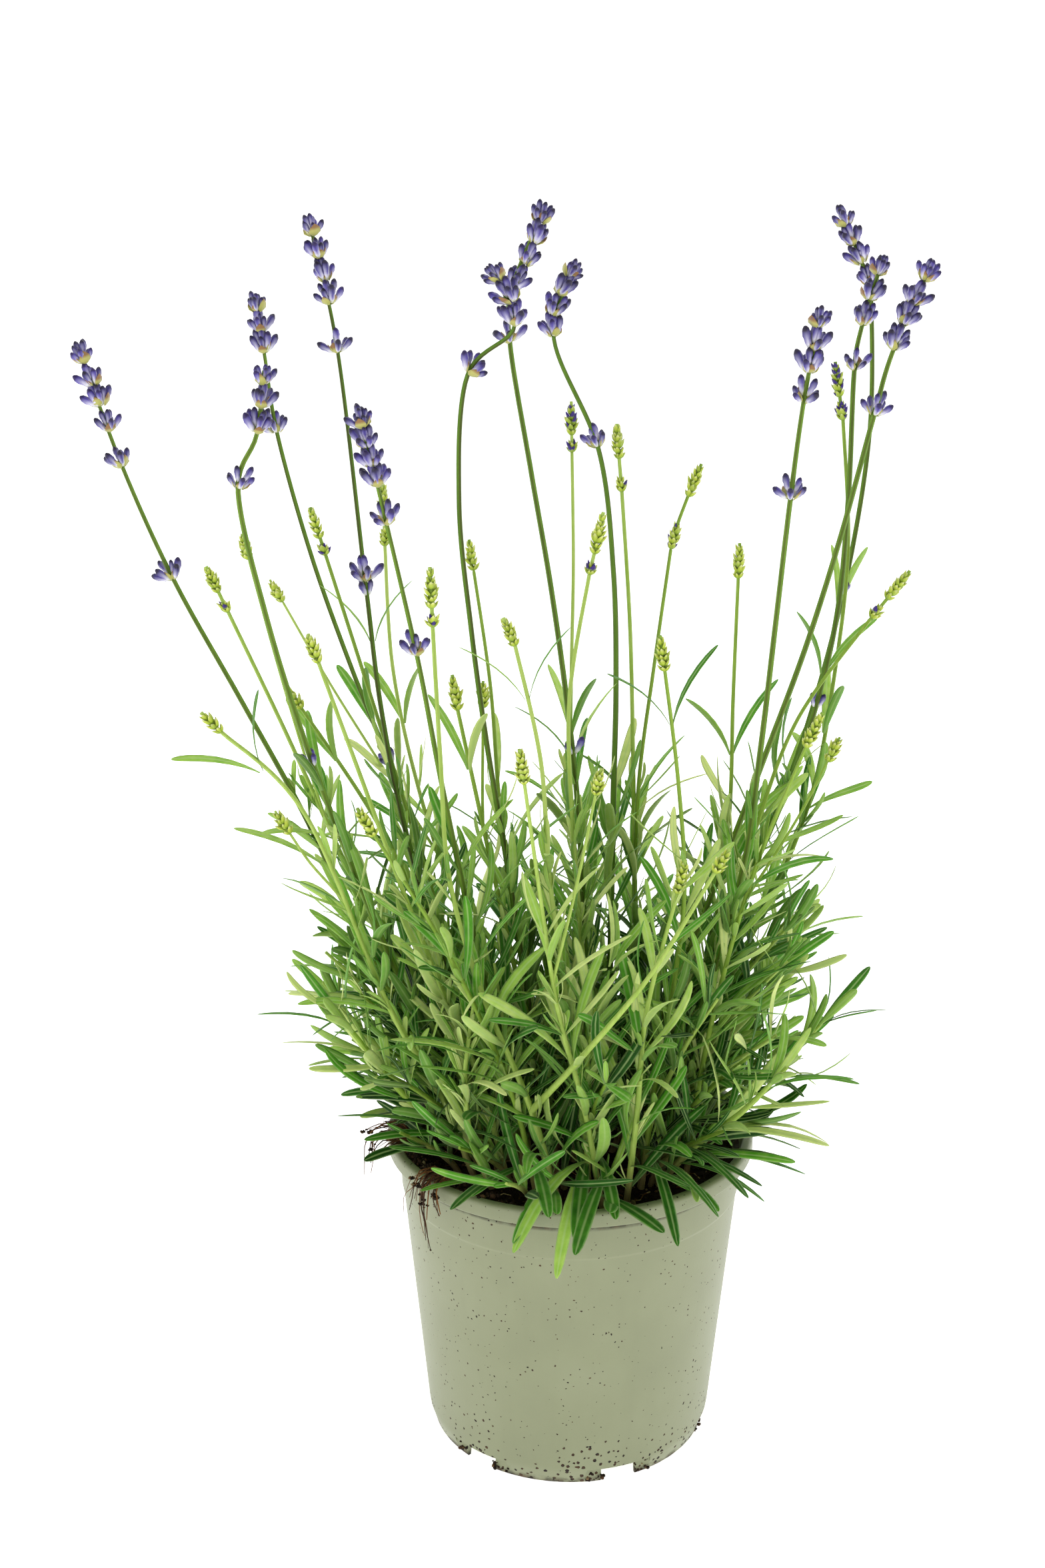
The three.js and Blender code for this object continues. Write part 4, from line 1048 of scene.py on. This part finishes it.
def grow_leaf(leaves, root, stem, side, rise, length, half, tint, bend):
    """A leaf from a stem: rise is its angle off the side, bend how far its tip turns down."""
    aim = unit(math.cos(rise) * side + math.sin(rise) * stem + TO_LIGHT * UP)
    up = square_to(stem, aim)
    s = LEAF_STATIONS[:, None]
    sway = np.cross(aim, up) * RNG.uniform(-0.2, 0.2)
    line = root + length * (s * aim + s**2 * (sway - bend * up) + s**4 * RNG.uniform(-0.14, 0.2) * up)
    if is_clear(line):
        add_leaf(leaves, line, [up] * len(s), half, tint, RNG.uniform(-0.7, 0.7))


def fill_stem(leaves, line, low, high, longest, thick, tint):
    """Opposite pairs up a stem, each turned a quarter from the last, with young leaves in the axils."""
    ahead = directions(line)
    turn = RNG.uniform(0, math.pi)
    at = low + RNG.uniform(0, 6) * MM
    while at < high:
        i = int(np.argmin(np.abs(line[:, 2] - at)))
        if abs(line[i, 2] - at) > 4 * MM:
            break
        share = np.clip((at - low) / max(high - low, MM), 0, 1)
        side = turned(square_to(np.array([1.0, 0.0, 0.0]), ahead[i]), ahead[i], turn)
        for way in (1, -1):
            if RNG.random() < thick * np.interp(at, THIN_OUT, (1, 0.35)):
                grow_leaf(
                    leaves, line[i], ahead[i], side * way, RNG.uniform(0.45, 1.05),
                    longest * (1 - 0.35 * share) * RNG.uniform(0.75, 1.08),
                    RNG.uniform(1.5, 2.2) * MM * (1 - 0.2 * share), np.clip(
                        tint + 0.3 * (share - 0.5) + RNG.uniform(-0.32, 0.32), 0, 1
                    ),
                    RNG.uniform(-0.3, 0.42),
                )
            for _ in range(int(RNG.integers(0, 4)) if RNG.random() < thick * 0.8 else 0):
                aside = turned(side * way, ahead[i], RNG.uniform(-0.9, 0.9))
                grow_leaf(
                    leaves, line[i] + ahead[i] * RNG.uniform(0, 2) * MM, ahead[i], aside,
                    RNG.uniform(0.8, 1.35),
                    RNG.uniform(7, 19) * MM, RNG.uniform(0.7, 1.15) * MM, np.clip(
                        tint + RNG.uniform(-0.1, 0.42), 0, 1
                    ),
                    RNG.uniform(-0.1, 0.15),
                )
        turn += math.pi / 2 + RNG.uniform(-0.2, 0.2)
        at += PAIR_SPACING * RNG.uniform(0.75, 1.25)


# ---- templates of the flowers ----


def spindle(name, sides, rings, length, squash=1.0, lean=0.0):
    """A closed pointed body up Z: rings are (share of the length, radius), leaning out towards +X."""
    points = [(0, 0, 0)]
    share, rib = [0.0], [0.0]
    for at, radius in rings:
        for i in range(sides):
            a = 2 * math.pi * i / sides
            x = radius * math.cos(a) * squash + lean * at**2 * length
            points.append((x, radius * math.sin(a), at * length))
            share.append(at)
            rib.append(1.0 if i % 2 else 0.0)
    points.append((lean * length, 0, length))
    share.append(1.0)
    rib.append(0.0)
    faces = []
    for i in range(sides):
        j = (i + 1) % sides
        faces.append((0, 1 + j, 1 + i))
        for row in range(len(rings) - 1):
            a, b = 1 + row * sides, 1 + (row + 1) * sides
            faces.append((a + i, a + j, b + j, b + i))
        last = 1 + (len(rings) - 1) * sides
        faces.append((last + i, last + j, len(points) - 1))
    return shown(name, mesh_of(name, points, (), faces, share=share, rib=rib))


class Whorls:
    """Whorls to grow, gathered with their values."""

    def __init__(self):
        self.points, self.values = [], {}

    def gather(self, place, **values):
        self.points.append(tuple(place))
        for key, value in values.items():
            self.values.setdefault(key, []).append(value)

    def mesh(self, name):
        return mesh_of(name, self.points, **{k: np.array(v) for k, v in self.values.items()})


# ---- the plant ----


def clipped(line, top):
    """A line up to a height."""
    return line[line[:, 2] <= top + MM]


def make_plant():
    stem_section = section("stem_section", STEM_SECTION, side=[math.cos(2 * a) for a in STEM_ANGLES])
    leaf_section = section(
        "leaf_section", LEAF_SECTION, across=[y for _, y in LEAF_SECTION], under=[0, 1, 1, 1, 0, 0, 0, 0]
    )
    hair_section = section("hair_section", HAIR_SECTION)
    flat_sweep, round_sweep, whorls = sweep_tree("Leaves", True), sweep_tree("Stems", False), whorl_tree()
    stems = {"flower": Lines(), "bud": Lines(), "shoot": Lines()}
    leaves = {"flower": Lines(), "bud": Lines(), "shoot": Lines(), "inner": Lines(), "outer": Lines()}
    outer, inner, bracts, scales = Whorls(), Whorls(), Whorls(), Whorls()

    for number, (stalk, head) in enumerate(zip(FLOWER_STALKS, FLOWER_HEADS), 1):
        corners, links = corners_and_links(stalk)
        found, rings = chains(corners, links, ROD_SIDES)
        chain = mended(found)[0]
        head_chain = chains(*corners_and_links(head), HEAD_SIDES)[0][0]
        feet, tops = head_chain[0::4], head_chain[3::4]
        line = smoothed(
            [c for c, _ in chain] + [feet[1][0], tops[-1][0] - 1.5 * MM * unit(tops[-1][0] - feet[-1][0])]
        )
        radii = np.interp(
            line[:, 2], [110 * MM, 200 * MM, feet[0][0][2], tops[-1][0][2]], [1.15, 0.98, 0.76, 0.55]
        )
        stems["flower"].gather(line, size=radii * MM, young=0.12 + 0.25 * RNG.random())
        tint = RNG.uniform(0.3, 0.5)
        for leaf in leaves_of(corners, links, rings):
            frame_leaf(leaves["flower"], *leaf, tint=np.clip(tint + RNG.uniform(-0.3, 0.3), 0, 1))
        fill_stem(
            leaves["flower"], clipped(line, FOLIAGE_TOP), 112 * MM, FOLIAGE_TOP, 44 * MM, 0.85, tint
        )
        if number in LOW_FLORETS:
            i = int(np.argmin(np.abs(line[:, 2] - LOW_FLORETS[number] * MM)))
            inner.gather(
                line[i], axis=directions(line)[i], count=3, turn=RNG.uniform(0, 6), size=0.95, splay=1.0
            )
        for i, ((foot, _), (top, _)) in enumerate(zip(feet, tops)):
            axis = unit(top - foot)
            near = i + 1 < len(feet) and np.linalg.norm(feet[i + 1][0] - foot) < 9 * MM
            crowded = near or i == len(feet) - 1
            size = RNG.uniform(0.92, 1.05) * (0.84 if i == len(feet) - 1 else 1.0)
            turn = RNG.uniform(0, 6)
            outer.gather(
                foot + axis * 0.8 * MM, axis=axis, count=6 if crowded else 5, turn=turn, size=size,
                splay=0.85 if crowded else 1.2,
            )
            inner.gather(foot + axis * 2.6 * MM, axis=axis, count=4 if crowded else 2, turn=turn + 0.5,
                         size=size * 0.92, splay=0.45)
            bracts.gather(foot + axis * 0.3 * MM, axis=axis, count=2, turn=turn, size=1.0, splay=1.0)
            bracts.gather(
                foot + axis * 0.6 * MM, axis=axis, count=2, turn=turn + 1.7, size=0.85, splay=0.95
            )

    for stalk in BUD_STALKS:
        corners, links = corners_and_links(stalk)
        found, rings = chains(corners, links, ROD_SIDES)
        tint = RNG.uniform(0.4, 0.65)
        young = 0.72 if stalk in STOUT_BUD_STALKS else 0.45 + 0.4 * RNG.random()
        lines = []
        for k, chain in enumerate(mended(found)):
            stem_radius = (0.8 if stalk in STOUT_BUD_STALKS else 0.55) if k else 0.75
            line = smoothed([c for c, _ in chain])
            lines.append(line)
            low, high = line[0, 2], line[-1, 2]
            radii = np.interp(
                line[:, 2], [low, 200 * MM, high], [stem_radius * 1.5, stem_radius, stem_radius * 0.75]
            )
            stems["bud"].gather(line, size=radii * MM, young=young)
            swells = [i for i, (_, r) in enumerate(chain) if r > 2 * MM]
            for n, i in enumerate(swells):
                foot, top = chain[i - 2][0], chain[i + 1][0]
                axis, length = unit(top - foot), np.linalg.norm(top - foot)
                tiers = max(3, round(length / (2.0 * MM)))
                ripe = 0.55 if stalk in ("bud_stalk_13", "bud_stalk_19") else (
                    0.25 if len(swells) > 1 and n == 0 else 0.0
                )
                for tier in range(tiers):
                    share = tier / (tiers - 1)
                    scales.gather(
                        foot + axis * (share * (length - 3.2 * MM)), axis=axis,
                        count=6 if share < 0.8 else 4,
                        turn=0.55 * tier, size=float(np.interp(share, [0, 0.35, 1], [0.82, 1.0, 0.78])),
                        splay=float(np.interp(share, [0, 0.5, 1], [1.15, 0.9, 0.45])), ripe=ripe,
                    )
        for leaf in leaves_of(corners, links, rings):
            frame_leaf(leaves["bud"], *leaf, tint=np.clip(tint + RNG.uniform(-0.3, 0.3), 0, 1))
        fill_stem(
            leaves["bud"], clipped(lines[0], FOLIAGE_TOP - 10 * MM),
            112 * MM, FOLIAGE_TOP, 40 * MM, 0.85, tint
        )

    for shoot in LEAFY_SHOOTS:
        corners, links = corners_and_links(shoot)
        found, rings = chains(corners, links, ROD_SIDES)
        line = smoothed([c for c, _ in mended(found)[0]])
        radii = np.interp(np.linspace(0, 1, len(line)), [0, 0.6, 1], [1.2, 0.95, 0.6])
        stems["shoot"].gather(line, size=radii * MM, young=0.5 + 0.3 * RNG.random())
        tint = RNG.uniform(0.35, 0.7)
        for leaf in leaves_of(corners, links, rings):
            frame_leaf(leaves["shoot"], *leaf, tint=np.clip(tint + RNG.uniform(-0.3, 0.3), 0, 1))
        fill_stem(leaves["shoot"], line, 110 * MM, line[-1, 2], 38 * MM, 0.9, tint)

    for i in range(INNER_SHOOTS + SIDE_SHOOTS):
        angle = i * GOLDEN_ANGLE + RNG.uniform(-0.3, 0.3)
        low = i % 3 == 0
        start = RNG.uniform(24, 46) * MM if low else RNG.uniform(6, 40) * MM
        reach = RNG.uniform(18, 34) * MM if low else RNG.uniform(8, 54) * MM
        height = RNG.uniform(20, 36) * MM if low else RNG.uniform(50, 98) * MM - 0.3 * reach
        if i >= INNER_SHOOTS:
            angle = math.pi * (i % 2) + RNG.uniform(-0.7, 0.5) * (1 - 2 * (i % 2))
            start, reach, height = (
                RNG.uniform(22, 42) * MM, RNG.uniform(28, 50) * MM, RNG.uniform(40, 95) * MM
            )
        out = np.array([math.cos(angle), math.sin(angle), 0])
        line = smoothed([
            out * (start + reach * s**1.5) + UP * (soil_high.z - 8 * MM + height * s**0.85)
            for s in np.linspace(0, 1, 5)
        ])
        radii = np.interp(np.linspace(0, 1, len(line)), [0, 0.6, 1], [1.15, 0.9, 0.5])
        stems["shoot"].gather(line, size=radii * MM, young=0.4 + 0.4 * RNG.random())
        # Low shoots get darker leaves: painted shade, for the shade deep inside the foliage.
        tint = RNG.uniform(-0.1, 0.3) if low else RNG.uniform(0.1, 0.6)
        fill_stem(
            leaves["outer" if low or i >= INNER_SHOOTS else "inner"],
            line, 109 * MM, line[-1, 2], 40 * MM, 0.95, tint
        )

    for i in range(RIM_LEAVES):
        for _ in range(12):
            angle = math.radians(RNG.uniform(*RIM_SIDE) if i % 3 else RNG.uniform(0, 360))
            out = np.array([math.cos(angle), math.sin(angle), 0])
            root = out * RNG.uniform(36, 52) * MM + UP * RNG.uniform(112, 124) * MM
            aim = unit(turned(out, UP, RNG.uniform(-0.5, 0.5)) + UP * RNG.uniform(0.0, 0.45))
            s, length = LEAF_STATIONS[:, None], RNG.uniform(30, 46) * MM
            line = root + length * (s * aim - s**2 * RNG.uniform(0.1, 0.38) * UP)
            if is_clear(line, 0.3 * MM) and line[-1, 2] > 96 * MM:
                up = square_to(UP, aim)
                half = RNG.uniform(2.0, 2.6) * MM
                add_leaf(
                    leaves["outer"], line, [up] * len(s), half,
                    RNG.uniform(0.1, 0.42), RNG.uniform(-0.6, 0.6)
                )
                break

    stem_looks, leaf_looks = green_stem(), downy_leaf()
    nodes = {"flower": FLOWER_STALKS, "bud": BUD_STALKS, "shoot": LEAFY_SHOOTS}
    for kind, lines in stems.items():
        made = grown(
            f"{kind}_stems", lines.mesh(f"{kind}_stems"), round_sweep,
            Section=stem_section, Material=stem_looks,
        )
        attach(made, "root")
        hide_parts(*nodes[kind])
    for kind, lines in leaves.items():
        made = grown(
            f"{kind}_leaves", lines.mesh(f"{kind}_leaves"), flat_sweep,
            Section=leaf_section, Material=leaf_looks,
        )
        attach(made, "root")

    floret = spindle(
        "floret", 6, [(0.05, 0.45 * MM), (0.28, 0.95 * MM), (0.47, 0.98 * MM), (0.62, 1.25 * MM),
                      (0.84, 1.05 * MM),
                      (0.96, 0.5 * MM)], 6.7 * MM, lean=-0.05,
    )
    bract = spindle(
        "bract", 6, [(0.12, 0.9 * MM), (0.42, 2.1 * MM), (0.72, 1.7 * MM), (0.92, 0.6 * MM)], 4.3 * MM,
        squash=0.12, lean=-0.3,
    )
    scale = spindle(
        "bud_scale", 4, [
            (0.12, 0.65 * MM), (0.4, 1.1 * MM), (0.7, 0.8 * MM), (0.9, 0.3 * MM)
        ], 3.8 * MM,
        squash=0.55, lean=0.05,
    )
    petals, papery, green = floret_petal(), dry_bract(), bud_scale()
    for name, gathered, template, looks, start, splay, play, seed in (
        ("outer_florets", outer, floret, petals, 1.1, 0.66, 0.28, 11),
        ("inner_florets", inner, floret, petals, 0.8, 0.5, 0.26, 12),
        ("head_bracts", bracts, bract, papery, 0.9, 0.85, 0.15, 13),
        ("bud_scales", scales, scale, green, 0.55, 0.5, 0.1, 14),
    ):
        made = grown(
            name, gathered.mesh(name), whorls, Template=template, Start=start * MM, Splay=splay, Play=play,
            Seed=seed, Material=looks,
        )
        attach(made, "root")
        if name == "outer_florets":
            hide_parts(*FLOWER_HEADS)
    make_roots(round_sweep, whorls, hair_section)
    removed(stem_section, leaf_section, hair_section, floret, bract, scale)


def make_roots(sweep, whorls, hair_section):
    """Fine dry roots over the lip, each strand of the frame a wisp of hairs, and straw on the soil."""
    hairs, clinging = Lines(), Whorls()
    for route in ROOT_ROUTES:
        line = smoothed(np.array(route) * MM)[::2]
        for _ in range(HAIRS_PER_STRAND):
            path = line[: max(4, int(len(line) * RNG.uniform(0.45, 1.0)))]
            steps = RNG.normal(0, 0.4 * MM, path.shape)
            drift = np.cumsum(steps, axis=0) + RNG.normal(0, 0.55 * MM, path.shape)
            drift -= np.outer(
                np.minimum(0, drift @ unit(line[-1] * (1, 1, 0))), unit(line[-1] * (1, 1, 0))
            )
            size = np.linspace(0.42, 0.14, len(path)) * RNG.uniform(0.5, 1.5) * MM
            hairs.gather(path + drift, size=size, tint=RNG.uniform(0.0, 0.6))
            for p in (path + drift)[1::3]:
                if RNG.random() < 0.6:
                    clinging.gather(
                        p, axis=UP, count=4, turn=RNG.uniform(0, 6),
                        size=RNG.uniform(0.5, 1.7), splay=1.0
                    )
    for i in range(NOTCHES * NOTCH_CRUMBS):
        angle = (
            NOTCH_TURN + (i % NOTCHES) / NOTCHES * 2 * math.pi + RNG.choice((-1, 1)) * RNG.uniform(0.11, 0.25)
        )
        place = np.array([math.cos(angle), math.sin(angle), 0]) * (FOOT_RADIUS + 0.1 * MM)
        place[2] = abs(RNG.normal(0.8, 1.6)) * MM + 0.9 * MM
        clinging.gather(
            place, axis=UP, count=2, turn=RNG.uniform(0, 6), size=RNG.uniform(0.5, 1.9), splay=1.0
        )
    for _ in range(RIM_CRUMBS):
        angle = math.radians(RNG.normal(212, 13))
        out = RNG.uniform(52, 62.5) * MM
        z = (
            POT_HEIGHT - RNG.uniform(0.2, 3.5) * MM if out > 57 * MM
            else soil_high.z + RNG.uniform(-1, 2.5) * MM
        )
        place = np.array([out * math.cos(angle), out * math.sin(angle), z])
        clinging.gather(
            place, axis=UP, count=2, turn=RNG.uniform(0, 6), size=RNG.uniform(0.7, 2.5), splay=1.0
        )
    crumb = shown("crumb", lump_mesh("crumb", 8))
    made = grown(
        "root_crumbs", clinging.mesh("root_crumbs"), whorls, Template=crumb,
        Start=0.4 * MM, Splay=1.2, Play=1.0,
        Seed=21, Material=bpy.data.materials["peat_compost_crumbled"],
    )
    removed(crumb)
    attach(made, "root")
    for _ in range(STRAWS):
        angle, out = RNG.uniform(0, 2 * math.pi), math.sqrt(RNG.uniform(0.02, 1)) * 54 * MM
        foot = np.array([out * math.cos(angle), out * math.sin(angle), 0])
        along = RNG.uniform(0, 2 * math.pi)
        step = np.array([math.cos(along), math.sin(along), 0]) * RNG.uniform(1.2, 3.0) * MM
        path = [foot + step * k + RNG.normal(0, 0.35, 3) * MM for k in range(5)]
        path = [
            np.array([p[0], p[1], soil_height(*(p[:2] * 0.97)) + RNG.uniform(0.3, 1.3) * MM]) for p in path
        ]
        hairs.gather(path, size=np.linspace(0.3, 0.15, 5) * MM, tint=RNG.uniform(0.2, 1.0))
    made = grown(
        "root_hairs", hairs.mesh("root_hairs"), sweep, Section=hair_section, Material=dry_root()
    )
    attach(made, "root")
    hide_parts(*ROOT_TUFTS)


# ---- floor, light and camera ----


def area_light(name, place, target, size, power):
    light = bpy.data.lights.new(name, "AREA")
    light.shape, light.size, light.energy = "DISK", size, power
    made = bpy.data.objects.new(name, light)
    bpy.context.scene.collection.objects.link(made)
    made.location = place
    made.rotation_euler = (Vector(target) - Vector(place)).to_track_quat("-Z", "Y").to_euler()


def set_stage():
    points, faces = lathe([(0, 0), (8, 0), (20, 0), (27, 2), (30, 6), (30, 14), (0, 14)], 48)
    sweep = [f for f in faces if len(points) - 1 not in f]
    floor = shown("floor", mesh_of("floor", points[:-1], (), [f[::-1] for f in sweep]))
    floor.data.materials.append(white_sweep())
    world = bpy.data.worlds.new("white_studio")
    bpy.context.scene.world = world
    world.use_nodes = True
    world.node_tree.nodes["Background"].inputs[0].default_value = (1, 1, 1, 1)
    world.node_tree.nodes["Background"].inputs[1].default_value = 0.15
    middle = (0, 0, 0.2)
    area_light("key", (-0.9, -1.1, 1.2), middle, 0.9, 2.8)
    area_light("fill", (1.1, -0.9, 0.8), middle, 0.9, 1.2)
    area_light("top", (0.1, 0.4, 1.6), middle, 0.8, 10)
    camera = bpy.data.objects.new("camera", bpy.data.cameras.new("camera"))
    bpy.context.scene.collection.objects.link(camera)
    camera.location = CAMERA_PLACE
    camera.rotation_euler = (CAMERA_TILT, 0, 0)
    camera.data.lens = CAMERA_LENS
    camera.data.sensor_width = 36
    camera.data.clip_start = 10 * MM
    bpy.context.scene.camera = camera
    bpy.context.scene.view_settings.view_transform = "Standard"


set_stage()
make_pot()
make_soil()
make_plant()
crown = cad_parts["woody_crown"]
crown.data.materials.clear()
crown.data.materials.append(bark())

bpy.context.view_layer.update()
